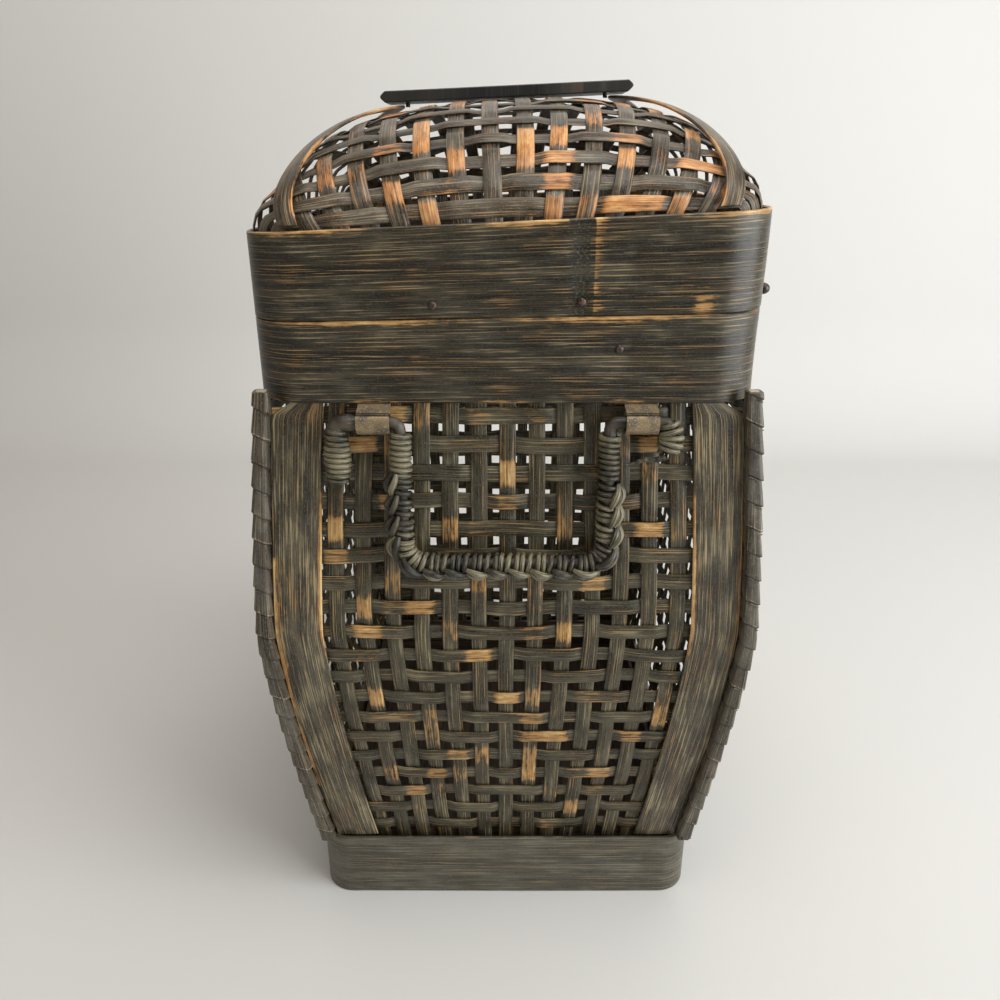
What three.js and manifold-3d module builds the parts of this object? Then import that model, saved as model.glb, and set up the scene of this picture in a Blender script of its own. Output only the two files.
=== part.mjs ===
import * as THREE from "three";
import { mergeVertices } from "three/addons/utils/BufferGeometryUtils.js";
import Module from "manifold-3d";

const solids = await Module();
solids.setup();

// A lidded basket of dark split bamboo, seen end on: four twill-woven walls that belly out between
// a base band and a rim band, bound corner edges, flat corner straps, a domed lift-off lid with a
// grip board, and a cord-wrapped drop handle on each end.
// Millimetres, +Z up. The origin is on the ground under the middle of the basket. The near end
// faces -Y, the far end +Y.

// Overall sizes
const rimWidth = 230;
const rimLength = 270;
const baseBandHeight = 40.5;
const rimLowZ = 300.7;
const rimBandHeight = 37.8;
const lidBandHeight = 39.5;
const domeRise = 53.3;
const clearance = 0.3;
const mergeDistance = 0.001;

// Bands: bent strips that run round the basket with rounded corners
const bandThickness = 1.8;
const bandCornerRadius = 25;
const bandCornerSteps = 2;
const baseInset = 8.1;
const baseBandThickness = 2.4;
const hoopThickness = 2.2;
const hoopFloorZ = 5.3;
const collarRise = 12;
const collarFloorDrop = 2.5;
const lidPlay = 0.6;
const lidHoopThickness = 1.4;
const lidHoopLift = 3;
const lidHoopTopDrop = 9;
const panelThickness = 3;
const panelFloorZ = 2;

// Wall shape: how far the wall stands out at its belly, where the belly is, how sharply the wall
// turns there, and how much further out a wall stands than the walls beside it reach
const bellyRise = 8.3;
const bellyZ = 185;
const bellyPower = 1.3;
const sideStand = 4.5;
const strapThickness = 1.6;
const strapWidth = 23.7;
const strapChamferAcross = 9;
const strapChamferDown = 6;
const strapEndGap = 0.8;

// Weave: flat strips of one width; weavers pass over two stakes and under two
const stripWidth = 7.7;
const stripThickness = 0.8;
const wallRows = 19;
const wallKnots = [0, 8, 14, wallRows];
const endStakes = 13;
const sideStakes = 15;
const stakeEdgeGap = 1;
const stakeTopRows = 1;
const stakeFootRows = 0.9;
const twillRepeat = 4;

// Bound corner edges: a square rod in a sleeve of binding strip
const rodHalf = 1.9;
const bindingHalf = 3.6;
const rodTopAboveRim = 5.5;

// Lid weave: the rows across are spaced evenly by the angle of the dome's ellipse
const lidLayerGap = 0.8;
const lidRows = 17;
const lidStrips = 14;
const nearKnotRows = [0, 1, 3, 5, 7];
const knotStrips = [2, 4, 6];
const domeFootRound = 1.6;
const domeCrownRound = 2.75;
const domeEndShare = 0.853;
const domeCrownSpread = 0.1;
const domeSidePower = 5;
const domeCornerPull = 0.06;
const domeCornerPower = 12;
const longTuck = 22;
const crossTuck = 12;

// Bows over the lid weave, placed by share of the lid's half-width
const bowThickness = 1.5;
const bowFootShare = 0.952;
const bowCrownShare = 0.45;
const bowBend = 1.8;
const bowHalfShare = 0.044;
const bowStand = 1.9;
const bowFirstRow = 0.2;
const bowSteps = 14;

// Grip board across the two bows
const boardLength = 132.5;
const boardDepth = 26;
const boardThickness = 5.5;
const boardEndChamfer = 2.5;
const pinX = 53;
const pinRadius = 1.2;
const pinHeadRadius = 2.3;
const pinHeadHeight = 0.8;

// Drop handles: a cord wound round a bent rod that hangs from two brackets
const pivotBelowRim = 7.7;
const bailHalfWidth = 48.5;
const bailDrop = 67;
const bailCornerRadius = 11;
const bailTopRadius = 4;
const bailCoreRadius = 2.7;
const coreSides = 6;
const cornerSteps = 3;
const stubPastLeg = 26;
const leftStubDrop = 27;
const rightStubDrop = 20;
const cordRadius = 2.1;
const endCordRadius = 1.2;
const windingStart = 7.5;
const windingLoops = 18;
const endLoops = 3;
const endWindingStart = 4.5;
const endWindingStop = 1;
const loopSteps = 6;
const cordSides = 4;
const bracketWidth = 15;
const bracketPastLeg = 11.5;
const bracketSheet = 1.1;
const bracketPlay = 0.4;
const bracketTabRise = 9;
const ringSteps = 8;

// Tacks through the bands
const tackShaftRadius = 0.9;
const tackHeadRadius = 1.9;
const tackHeadHeight = 0.8;
const tackSteps = 6;
const lidTackX = [-32.5, 31.7];
const lidTackAboveEdge = 6;
const rimTackX = 48.9;
const rimTackBelowEdge = 14;
const sideTackRadius = 2.6;
const sideTackY = -108;

// The lid band's two ends don't quite meet: a shallow slot shows between them
const lapX = 31.5;
const lapHalfWidth = 5.2;
const lapDepth = 0.8;

// The basket is hand-made: its upper edges rise to the right
const rimLean = 0.019;
const lidLean = 0.043;

// Derived places
const weaveHalf = stripThickness * 1.5 + clearance;
const strapEdgeBeyondWall = weaveHalf;
const weaveSwing = stripThickness + clearance;
const lidLayer = (stripThickness + lidLayerGap) / 2;
const endReach = (rimLength - rimWidth) / 2;
const endStand = endReach + sideStand;
const rimTopZ = rimLowZ + rimBandHeight;
const lidLowZ = rimTopZ + clearance;
const lidTopZ = lidLowZ + lidBandHeight;
const strapStand = strapThickness + 2 * clearance + weaveHalf + sideStand;
const wallTopHalf = rimWidth / 2 - bandThickness - strapStand;
const wallFootHalf = rimWidth / 2 - baseInset - baseBandThickness - clearance - strapStand;

const pivotZ = rimLowZ - pivotBelowRim;
const stubReach = bailHalfWidth + stubPastLeg;
const bracketX = bailHalfWidth + bracketPastLeg;

// Colours of the stained bamboo, the cord and the metal
const darkBamboo = new THREE.Color(0x2a2019);
const greyBamboo = new THREE.Color(0x4a443a);
const wornBamboo = new THREE.Color(0x5b4027);
const cordColour = new THREE.Color(0x5a5643);
const brassColour = new THREE.Color(0x6b5636);
const boardColour = new THREE.Color(0x17130f);
const nailColour = new THREE.Color(0x3a3632);

const basket = new THREE.Group();

// The upper edges of the basket rise to the right: nothing below the rim band moves.
function leaned(geometry) {
  const position = geometry.getAttribute("position");
  for (let i = 0; i < position.count; i++) {
    const z = position.getZ(i);
    const atRim = THREE.MathUtils.clamp((z - rimLowZ) / (rimTopZ - rimLowZ), 0, 1);
    const atLid = THREE.MathUtils.clamp((z - lidLowZ) / (lidTopZ - lidLowZ), 0, 1);
    const lean = rimLean * atRim + (lidLean - rimLean) * atLid;
    position.setZ(i, z + lean * position.getX(i));
  }
  return geometry;
}

function add(name, geometry, colour, roughness = 0.7, metalness = 0) {
  const material = new THREE.MeshStandardMaterial({ color: colour, roughness, metalness });
  const mesh = new THREE.Mesh(leaned(geometry), material);
  mesh.name = name;
  basket.add(mesh);
}

// A closed shell from points and triangles, turned to face out.
function shell(points, faces) {
  const volume = faces.reduce(
    (sum, [a, b, c]) =>
      sum + points[a].dot(new THREE.Vector3().crossVectors(points[b], points[c])),
    0,
  );
  const index = faces.flatMap(([a, b, c]) => (volume > 0 ? [a, b, c] : [a, c, b]));
  return new THREE.BufferGeometry().setFromPoints(points).setIndex(index);
}

// A closed solid through rings of points, capped at both ends and facing out.
function loft(rings) {
  const sides = rings[0].length;
  const points = rings.flat();
  const faces = [];
  for (let k = 0; k + 1 < rings.length; k++) {
    for (let s = 0; s < sides; s++) {
      const a = k * sides + s;
      const b = k * sides + ((s + 1) % sides);
      faces.push([a, b, b + sides], [a, b + sides, a + sides]);
    }
  }
  const last = (rings.length - 1) * sides;
  for (let s = 1; s + 1 < sides; s++) {
    faces.push([0, s + 1, s], [last, last + s, last + s + 1]);
  }
  return shell(points, faces);
}

function solidOf(geometry) {
  const bare = new THREE.BufferGeometry();
  bare.setAttribute("position", geometry.getAttribute("position"));
  bare.setIndex(geometry.index);
  const merged = mergeVertices(bare, mergeDistance);
  const vertProperties = merged.getAttribute("position").array;
  const triVerts = new Uint32Array(merged.index.array);
  return new solids.Manifold(new solids.Mesh({ numProp: 3, vertProperties, triVerts }));
}

function geometryOf(solid) {
  const { vertProperties, triVerts } = solid.getMesh();
  const geometry = new THREE.BufferGeometry();
  geometry.setAttribute("position", new THREE.BufferAttribute(vertProperties, 3));
  return geometry.setIndex(new THREE.BufferAttribute(triVerts, 1));
}

// A geometry with the cutters' volumes taken away.
function cut(geometry, ...cutters) {
  const whole = solidOf(geometry);
  return geometryOf(cutters.reduce((solid, cutter) => solid.subtract(solidOf(cutter)), whole));
}

// Bands and hoops

function roundedRectangle(path, halfX, halfY, radius) {
  path.moveTo(-halfX + radius, -halfY);
  path.lineTo(halfX - radius, -halfY);
  path.absarc(halfX - radius, -halfY + radius, radius, -Math.PI / 2, 0);
  path.lineTo(halfX, halfY - radius);
  path.absarc(halfX - radius, halfY - radius, radius, 0, Math.PI / 2);
  path.lineTo(-halfX + radius, halfY);
  path.absarc(-halfX + radius, halfY - radius, radius, Math.PI / 2, Math.PI);
  path.lineTo(-halfX, -halfY + radius);
  path.absarc(-halfX + radius, -halfY + radius, radius, Math.PI, Math.PI * 1.5);
  return path;
}

function cornerRadiusAt(halfX) {
  return bandCornerRadius - (rimWidth / 2 - halfX);
}

function plate(halfX, lowZ, highZ, bore) {
  const outline = (path, half) =>
    roundedRectangle(path, half, half + endReach, cornerRadiusAt(half));
  const shape = outline(new THREE.Shape(), halfX);
  if (bore) shape.holes.push(outline(new THREE.Path(), bore));
  const settings = { depth: highZ - lowZ, bevelEnabled: false, curveSegments: bandCornerSteps };
  return new THREE.ExtrudeGeometry(shape, settings).translate(0, 0, lowZ);
}

// A hoop outlined at half-width halfX across X, and endReach more along Y.
function hoop(halfX, thickness, lowZ, highZ) {
  return plate(halfX, lowZ, highZ, halfX - thickness);
}

// Walls
// A wall is measured in rows: 0 at the rim band's lower edge, wallRows at the base band's top.

const bellyCurve = new (class extends THREE.Curve {
  getPoint(t) {
    const z = THREE.MathUtils.lerp(rimLowZ, baseBandHeight, t);
    const above = z > bellyZ;
    const far = above ? rimLowZ : baseBandHeight;
    const fall = above ? bellyRise : wallTopHalf + bellyRise - wallFootHalf;
    const out = wallTopHalf + bellyRise - fall * ((z - bellyZ) / (far - bellyZ)) ** bellyPower;
    return new THREE.Vector2(out, z);
  }
})();
const rowPitch = bellyCurve.getLength() / wallRows;
const knotPoints = wallKnots.map((row) => bellyCurve.getPointAt(row / wallRows));

// The wall's middle surface at a row: how far out it is across X, its height and its normal.
function wallAt(row) {
  let span = wallKnots.findIndex((knot) => row < knot) - 1;
  if (span < 0) span = row < wallKnots[0] ? 0 : wallKnots.length - 2;
  const direction = (k) => knotPoints[k + 1].clone().sub(knotPoints[k]).normalize();
  const share = (row - wallKnots[span]) / (wallKnots[span + 1] - wallKnots[span]);
  const point = knotPoints[span].clone().lerp(knotPoints[span + 1], share);
  const along = direction(span);
  if (share === 0 && span > 0) along.add(direction(span - 1)).normalize();
  return { out: point.x, z: point.y, normal: new THREE.Vector2(-along.y, along.x) };
}

// Each face: where a point at (across, out, z) lies, how far beyond the wall's curve it stands,
// how far its woven panel and its straps reach across, and how many stakes it has.
const panelCorner = weaveHalf;
const faces = {
  near: {
    place: (u, out, z) => new THREE.Vector3(u, -out, z),
    reach: endStand,
    across: 0,
    edge: panelCorner,
    stakes: endStakes,
  },
  far: {
    place: (u, out, z) => new THREE.Vector3(-u, out, z),
    reach: endStand,
    across: 0,
    edge: panelCorner,
    stakes: endStakes,
  },
  left: {
    place: (u, out, z) => new THREE.Vector3(-out, -u, z),
    reach: sideStand,
    across: endStand,
    edge: -panelCorner - clearance,
    stakes: sideStakes,
  },
  right: {
    place: (u, out, z) => new THREE.Vector3(out, u, z),
    reach: sideStand,
    across: endStand,
    edge: -panelCorner - clearance,
    stakes: sideStakes,
  },
};

function halfAcross(face, row) {
  return wallAt(row).out + face.across;
}

function onWall(face, u, row, height) {
  const wall = wallAt(row);
  const out = wall.out + face.reach + height * wall.normal.x;
  return face.place(u, out, wall.z + height * wall.normal.y);
}

// A strip's section between its left and right edges, each [across, row], at a height off the wall.
function wallSection(face, left, right, height, thickness) {
  const top = height + thickness / 2;
  const under = height - thickness / 2;
  return [
    onWall(face, ...left, top),
    onWall(face, ...right, top),
    onWall(face, ...right, under),
    onWall(face, ...left, under),
  ];
}

function stakePlace(face, stake, row) {
  const clear = halfAcross(face, 0) + strapEdgeBeyondWall - strapWidth;
  const pitch = (2 * clear - stripWidth - 2 * stakeEdgeGap) / (face.stakes - 1);
  return (stake * pitch * halfAcross(face, row)) / halfAcross(face, 0);
}

// All the stakes of a face. The strip folds back at the head and at the foot, inside the bands.
function stakesOf(face) {
  const half = stripWidth / 2;
  const outer = (foot) => (foot ? wallRows + stakeFootRows : -stakeTopRows);
  const inner = (foot) => outer(foot) + ((foot ? -1 : 1) * stripWidth) / rowPitch;
  const reach = (face.stakes - 1) / 2;
  const rings = [];
  for (let stake = -reach; stake <= reach; stake++) {
    const down = (stake + reach) % 2 === 0;
    const section = (minusRow, plusRow) => {
      const minus = [stakePlace(face, stake, minusRow) - half, minusRow];
      const plus = [stakePlace(face, stake, plusRow) + half, plusRow];
      const [left, right] = down ? [plus, minus] : [minus, plus];
      return wallSection(face, left, right, 0, stripThickness);
    };
    const entry = section(stake === -reach ? outer(!down) : inner(!down), outer(!down));
    const exit = section(outer(down), stake === reach ? outer(down) : inner(down));
    const between = wallKnots.slice(1, -1).map((knot) => section(knot, knot));
    rings.push(entry, ...(down ? between : between.reverse()), exit);
  }
  return loft(rings);
}

// A weaver passes over a stake where this is true; the twill mirrors about the middle stake.
function passesOver(row, stake) {
  const step = (Math.abs(stake) - row) % twillRepeat;
  return (step + twillRepeat) % twillRepeat < twillRepeat / 2;
}

// All the weavers of a face: one strip that goes to and fro and turns round under the straps.
function weaversOf(face) {
  const halfRow = stripWidth / 2 / rowPitch;
  const reach = (face.stakes - 1) / 2;
  const rings = [];
  for (let row = 0; row < wallRows; row++) {
    const up = row + 0.5 - halfRow;
    const low = row + 0.5 + halfRow;
    const way = row % 2 === 0 ? 1 : -1;
    const swing = (stake) => (passesOver(row, stake) ? weaveSwing : -weaveSwing);
    const section = (upU, lowU, height) => {
      const edges = [
        [upU, up],
        [lowU, low],
      ];
      const [left, right] = way > 0 ? edges : edges.reverse();
      return wallSection(face, left, right, height, stripThickness);
    };
    const edge = (at) => halfAcross(face, at) + face.edge;
    const startUp = row === 0 ? edge(up) : edge(up) - stripWidth;
    const endLow = row === wallRows - 1 ? edge(low) : edge(low) - stripWidth;
    rings.push(section(-way * startUp, -way * edge(low), swing(-way * reach)));
    for (let step = -reach; step < reach; step++) {
      const from = step * way;
      const to = (step + 1) * way;
      if (swing(from) === swing(to)) continue;
      const past = way * (stripWidth / 2 + clearance);
      const after = (at) => stakePlace(face, from, at) + past;
      const before = (at) => stakePlace(face, to, at) - past;
      rings.push(section(after(up), after(low), swing(from)));
      rings.push(section(before(up), before(low), swing(to)));
    }
    rings.push(section(way * edge(up), way * endLow, swing(way * reach)));
  }
  return loft(rings);
}

// A flat corner strap on the weave, its outer top corner cut off below the rim band.
function strapOn(face, side) {
  const height = weaveHalf + clearance + strapThickness / 2;
  const gapRows = strapEndGap / rowPitch;
  const section = (row, cut) => {
    const outer = halfAcross(face, row) + strapEdgeBeyondWall;
    const ends = [
      [side * (outer - strapWidth), row],
      [side * (outer - cut), row],
    ];
    return wallSection(face, ends[0], ends[1], height, strapThickness);
  };
  return loft([
    section(gapRows, strapChamferAcross),
    section(gapRows + strapChamferDown / rowPitch, 0),
    ...wallKnots.slice(1, -1).map((knot) => section(knot, 0)),
    section(wallRows - gapRows, 0),
  ]);
}

// Corner edges: a square rod in a sleeve, both following the wall's corner

const cornerOffset = weaveHalf + clearance + bindingHalf;
const rodTopRow = -rodTopAboveRim / rowPitch;
const rodFootRow = wallRows - strapEndGap / rowPitch;

function cornerRing(row, half, signX, signY) {
  const wall = wallAt(row);
  const x = wall.out + cornerOffset;
  const y = x + endStand;
  return [
    [-1, -1],
    [1, -1],
    [1, 1],
    [-1, 1],
  ].map(([a, b]) => new THREE.Vector3(signX * (x + a * half), signY * (y + b * half), wall.z));
}

function cornerBar(half, signX, signY, endRows = 0) {
  const rows = [rodTopRow - endRows, ...wallKnots.slice(1, -1), rodFootRow + endRows];
  return loft(rows.map((row) => cornerRing(row, half, signX, signY)));
}

function cornerBinding(signX, signY) {
  const bore = cornerBar(rodHalf + clearance, signX, signY, 1);
  return cut(cornerBar(bindingHalf, signX, signY), bore);
}

// Inside the rim: a collar that holds the stakes and stands up into the lid, and the lid's hoop
// round it. The lid's strips are tucked into the slot between that hoop and the lid band.

const collarHalf = wallAt(-stakeTopRows).out + sideStand - stripThickness / 2 - clearance;
const lidHoopHalf = collarHalf + lidPlay + lidHoopThickness;
const slotHalfX = (lidHoopHalf + rimWidth / 2 - bandThickness) / 2;
const slotHalfY = slotHalfX + endReach;

// Lid weave
// A point of the lid is measured by its share of the half-width across and by its row along,
// counted from the near edge. Facets between a few knots keep one gap between the layers.

const domeFootZ = lidTopZ + clearance;
const domeHeight = lidTopZ + domeRise - domeFootZ;
const lidEdgeStrip = (lidStrips + 1) / 2;
const sideKnots = [...knotStrips, lidEdgeStrip].map((strip) => strip / lidEdgeStrip);
const shareKnots = [...sideKnots.map((share) => -share).reverse(), ...sideKnots];
const rowKnots = [...nearKnotRows, ...nearKnotRows.map((row) => lidRows - row).reverse()];

function spreadAt(row) {
  const arch = Math.sin((Math.PI * row) / lidRows);
  return THREE.MathUtils.lerp(domeEndShare, 1 + domeCrownSpread, arch);
}

function domePoint(share, row) {
  const angle = (Math.PI * row) / lidRows;
  const arch = Math.sin(angle);
  const sidePull = domeCrownSpread * arch * share ** domeSidePower;
  const across = spreadAt(row) * share - sidePull;
  const round = THREE.MathUtils.lerp(domeFootRound, domeCrownRound, arch);
  const fall = Math.min(Math.abs(across), 1) ** round;
  const corner = 1 - domeCornerPull * Math.abs(across) ** domeCornerPower;
  return new THREE.Vector3(
    slotHalfX * across,
    -slotHalfY * Math.cos(angle) * corner,
    domeFootZ + domeHeight * arch * (1 - fall) ** (1 / round),
  );
}

function domeNormal(share, row) {
  const low = (value, step, least) => Math.max(value - step, least);
  const high = (value, step, most) => Math.min(value + step, most);
  const shareNudge = 0.02;
  const rowNudge = 0.2;
  const across = domePoint(high(share, shareNudge, 1), row);
  across.sub(domePoint(low(share, shareNudge, -1), row));
  const along = domePoint(share, high(row, rowNudge, lidRows));
  along.sub(domePoint(share, low(row, rowNudge, 0)));
  return across.cross(along).normalize();
}

function facetOf(knots, value) {
  const inner = knots.slice(1, -1);
  const k = inner.filter((knot) => knot <= value).length;
  return [knots[k], knots[k + 1], (value - knots[k]) / (knots[k + 1] - knots[k])];
}

// A point at a height over the lid's facets.
function onLid(share, row, height) {
  const [lowShare, highShare, s] = facetOf(shareKnots, share);
  const [lowRow, highRow, t] = facetOf(rowKnots, row);
  const near = domePoint(lowShare, lowRow).lerp(domePoint(highShare, lowRow), s);
  const far = domePoint(lowShare, highRow).lerp(domePoint(highShare, highRow), s);
  return near.lerp(far, t).addScaledVector(domeNormal(share, row), height);
}

function lidSection(left, right, height, thickness) {
  const top = height + thickness / 2;
  const under = height - thickness / 2;
  return [onLid(...left, top), onLid(...right, top), onLid(...right, under), onLid(...left, under)];
}

// A section in the slot: left and right are each a point and the way out of the basket there.
function slotSection(left, right) {
  const half = stripThickness / 2;
  const moved = ({ at, out }, depth) => at.clone().addScaledVector(out, depth);
  return [moved(left, half), moved(right, half), moved(right, -half), moved(left, -half)];
}

// Half a strip's width in rows, at a row: rows lie closer together near the lid's ends.
function halfRowAt(row) {
  const angle = (Math.PI * row) / lidRows;
  const pace = Math.hypot(slotHalfY * Math.sin(angle), domeHeight * Math.cos(angle));
  return (stripWidth * lidRows) / (2 * Math.PI * pace);
}

// The strips along the lid, one strip that goes to and fro under the rows across.
function lidLongStrips() {
  const reach = (lidStrips - 1) / 2;
  const rings = [];
  for (let strip = -reach; strip <= reach; strip++) {
    const way = (strip + reach) % 2 === 0 ? 1 : -1;
    const edgeAt = (edge, row) => {
      const half = stripWidth / 2 / (slotHalfX * spreadAt(row));
      return [strip / lidEdgeStrip + edge * half, row];
    };
    const onArch = (row) =>
      lidSection(edgeAt(-way, row), edgeAt(way, row), -lidLayer, stripThickness);
    const inSlot = (end, linkEdge) => {
      const corner = (edge) => {
        const x = (strip * slotHalfX * domeEndShare) / lidEdgeStrip + (edge * stripWidth) / 2;
        const z = lidTopZ - longTuck + (edge === linkEdge ? stripWidth : 0);
        return { at: new THREE.Vector3(x, end * slotHalfY, z), out: new THREE.Vector3(0, end, 0) };
      };
      return slotSection(corner(-way), corner(way));
    };
    rings.push(inSlot(-way, strip === -reach ? 0 : -1));
    rings.push(...(way > 0 ? rowKnots : [...rowKnots].reverse()).map(onArch));
    rings.push(inSlot(way, strip === reach ? 0 : 1));
  }
  return loft(rings);
}

// A place in the slot's side stretch, which rounds the corner near the lid's ends.
function slotSide(side, y, z) {
  const radius = cornerRadiusAt(slotHalfX);
  const past = Math.max(Math.abs(y) - (slotHalfY - radius), 0);
  const angle = Math.asin(Math.min(past / radius, 1));
  const x = slotHalfX - radius + radius * Math.cos(angle);
  const out = new THREE.Vector3(side * Math.cos(angle), Math.sign(y) * Math.sin(angle), 0);
  return { at: new THREE.Vector3(side * x, y, z), out };
}

// The strips across the lid, one strip that goes to and fro.
function lidCrossStrips() {
  const lowZ = lidTopZ - crossTuck;
  const highZ = lowZ + stripWidth;
  const rings = [];
  for (let row = 0; row < lidRows; row++) {
    const way = row % 2 === 0 ? 1 : -1;
    const middle = row + 1 / 2;
    const nearRow = middle - halfRowAt(middle);
    const farRow = middle + halfRowAt(middle);
    const inOrder = (near, far) => (way > 0 ? [far, near] : [near, far]);
    const onArch = (share) => {
      const [left, right] = inOrder([share, nearRow], [share, farRow]);
      return lidSection(left, right, lidLayer, stripThickness);
    };
    const inSlot = (side, nearZ, farZ) => {
      const near = slotSide(side, domePoint(1, nearRow).y, nearZ);
      const far = slotSide(side, domePoint(1, farRow).y, farZ);
      return slotSection(...inOrder(near, far));
    };
    rings.push(inSlot(-way, row === 0 ? lowZ : highZ, lowZ));
    rings.push(...(way > 0 ? shareKnots : [...shareKnots].reverse()).map(onArch));
    rings.push(inSlot(way, lowZ, row === lidRows - 1 ? lowZ : highZ));
    const linkY = domePoint(1, row + 1).y;
    if (row < lidRows - 1 && Math.abs(linkY) > slotHalfY - cornerRadiusAt(slotHalfX)) {
      rings.push(slotSection(slotSide(way, linkY, highZ), slotSide(way, linkY, lowZ)));
    }
  }
  return loft(rings);
}

// A bow from corner to corner over the weave, nearer the middle at the crown than at its feet.
function lidBow(side) {
  const rings = Array.from({ length: bowSteps + 1 }, (_, k) => {
    const row = THREE.MathUtils.lerp(bowFirstRow, lidRows - bowFirstRow, k / bowSteps);
    const toFoot = Math.abs(1 - (2 * row) / lidRows);
    const centre = bowFootShare + (bowCrownShare - bowFootShare) * (1 - toFoot) ** bowBend;
    const height = weaveHalf + bowStand + bowThickness / 2;
    const left = [side * (centre - side * bowHalfShare), row];
    const right = [side * (centre + side * bowHalfShare), row];
    return lidSection(left, right, height, bowThickness);
  });
  return loft(rings);
}

// The grip board, chamfered at both ends, and the pins that hold it down on the bows.
function gripBoard(lowZ) {
  const half = boardLength / 2;
  const shape = new THREE.Shape();
  shape.moveTo(-half, boardEndChamfer);
  shape.lineTo(-half + boardEndChamfer, 0);
  shape.lineTo(half - boardEndChamfer, 0);
  shape.lineTo(half, boardEndChamfer);
  shape.lineTo(half - boardEndChamfer, boardThickness);
  shape.lineTo(-half + boardEndChamfer, boardThickness);
  shape.closePath();
  const board = new THREE.ExtrudeGeometry(shape, { depth: boardDepth, bevelEnabled: false });
  return board.translate(0, 0, -boardDepth / 2).rotateX(Math.PI / 2).translate(0, 0, lowZ);
}

// A nail along +Y: its shaft runs down from the origin and its head stands on it.
function nail(shaftRadius, shaftLength, headRadius, headHeight, steps) {
  const profile = [
    [0, -shaftLength],
    [shaftRadius, -shaftLength],
    [shaftRadius, 0],
    [headRadius, 0],
    [headRadius * 0.7, headHeight],
    [0, headHeight],
  ].map(([x, y]) => new THREE.Vector2(x, y));
  return new THREE.LatheGeometry(profile, steps);
}

function drill(radius, length) {
  return new THREE.CylinderGeometry(radius, radius, length, tackSteps);
}

// Drop handles
// A handle is drawn flat: x across it, and down from its pivot line. It hangs tilted outward, so
// that its winding clears the belly of the wall.

// How far out the weave's face is at a height.
function weaveFaceAt(z) {
  const k = knotPoints.findIndex((point) => point.y < z);
  const share = (knotPoints[k - 1].y - z) / (knotPoints[k - 1].y - knotPoints[k].y);
  return THREE.MathUtils.lerp(knotPoints[k - 1].x, knotPoints[k].x, share) + weaveHalf;
}

const windingReach = bailCoreRadius + clearance + 2 * cordRadius;
const pivotOut = weaveFaceAt(pivotZ) + windingReach + clearance;
const bellyPush = weaveFaceAt(pivotZ - bailDrop) - weaveFaceAt(pivotZ);
const bailTilt = Math.atan2(bellyPush, bailDrop);

// The rod's middle line: straight runs joined by round corners.
function bailLine(stops) {
  const line = new THREE.CurvePath();
  let last = stops[0].at;
  for (let k = 1; k + 1 < stops.length; k++) {
    const { at, radius } = stops[k];
    const before = stops[k - 1].at.clone().sub(at).setLength(radius).add(at);
    const after = stops[k + 1].at.clone().sub(at).setLength(radius).add(at);
    line.add(new THREE.LineCurve(last, before));
    line.add(new THREE.QuadraticBezierCurve(before, at, after));
    last = after;
  }
  line.add(new THREE.LineCurve(last, stops[stops.length - 1].at));
  return line;
}

const rodStops = [
  [-stubReach, leftStubDrop, 0],
  [-stubReach, 0, bailTopRadius],
  [-bailHalfWidth, 0, bailTopRadius],
  [-bailHalfWidth, bailDrop, bailCornerRadius],
  [bailHalfWidth, bailDrop, bailCornerRadius],
  [bailHalfWidth, 0, bailTopRadius],
  [stubReach, 0, bailTopRadius],
  [stubReach, rightStubDrop, 0],
].map(([x, down, radius]) => ({ at: new THREE.Vector2(x, down), radius }));

function inBail(face, { x, y: down }, off) {
  const out = pivotOut + face.reach + down * Math.sin(bailTilt) + off * Math.cos(bailTilt);
  return face.place(x, out, pivotZ - down * Math.cos(bailTilt) + off * Math.sin(bailTilt));
}

// A tube round a line of the flat drawing: each ring is a circle square to the line.
function bailCore(face) {
  const line = bailLine(rodStops);
  const stations = line.curves.flatMap((curve, k) => {
    const steps = curve.isLineCurve ? 1 : cornerSteps;
    const first = k === 0 ? 0 : 1;
    return Array.from({ length: steps + 1 - first }, (_, n) => [curve, (n + first) / steps]);
  });
  const rings = stations.map(([curve, t]) => {
    const at = curve.getPoint(t);
    const tangent = curve.getTangent(t);
    const side = new THREE.Vector2(-tangent.y, tangent.x);
    return Array.from({ length: coreSides }, (_, n) => {
      const angle = (n * 2 * Math.PI) / coreSides;
      const point = at.clone().addScaledVector(side, bailCoreRadius * Math.cos(angle));
      return inBail(face, point, bailCoreRadius * Math.sin(angle));
    });
  });
  return loft(rings);
}

// Cord wound round a stretch of the rod, one unbroken tube that starts and ends straight.
function winding(face, line, loops, radius) {
  const reach = bailCoreRadius + clearance + radius;
  const length = line.getLength();
  const straight = (2 * radius) / length;
  const count = loops * loopSteps;
  const at = (t, angle) => {
    const point = line.getPointAt(t);
    const tangent = line.getTangentAt(t);
    const side = new THREE.Vector2(-tangent.y, tangent.x);
    const centre = inBail(face, point.addScaledVector(side, reach * Math.cos(angle)), 0);
    const lift = inBail(face, new THREE.Vector2(), 1).sub(inBail(face, new THREE.Vector2(), 0));
    return centre.addScaledVector(lift, reach * Math.sin(angle));
  };
  const turns = Array.from({ length: count + 1 }, (_, k) => {
    const share = straight + ((1 - 2 * straight) * k) / count;
    return at(share, (k * 2 * Math.PI) / loopSteps);
  });
  const route = [at(0, 0), ...turns, at(1, (count * 2 * Math.PI) / loopSteps)];
  reportGap(route, radius);
  return tubeAlong(route, radius);
}

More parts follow.
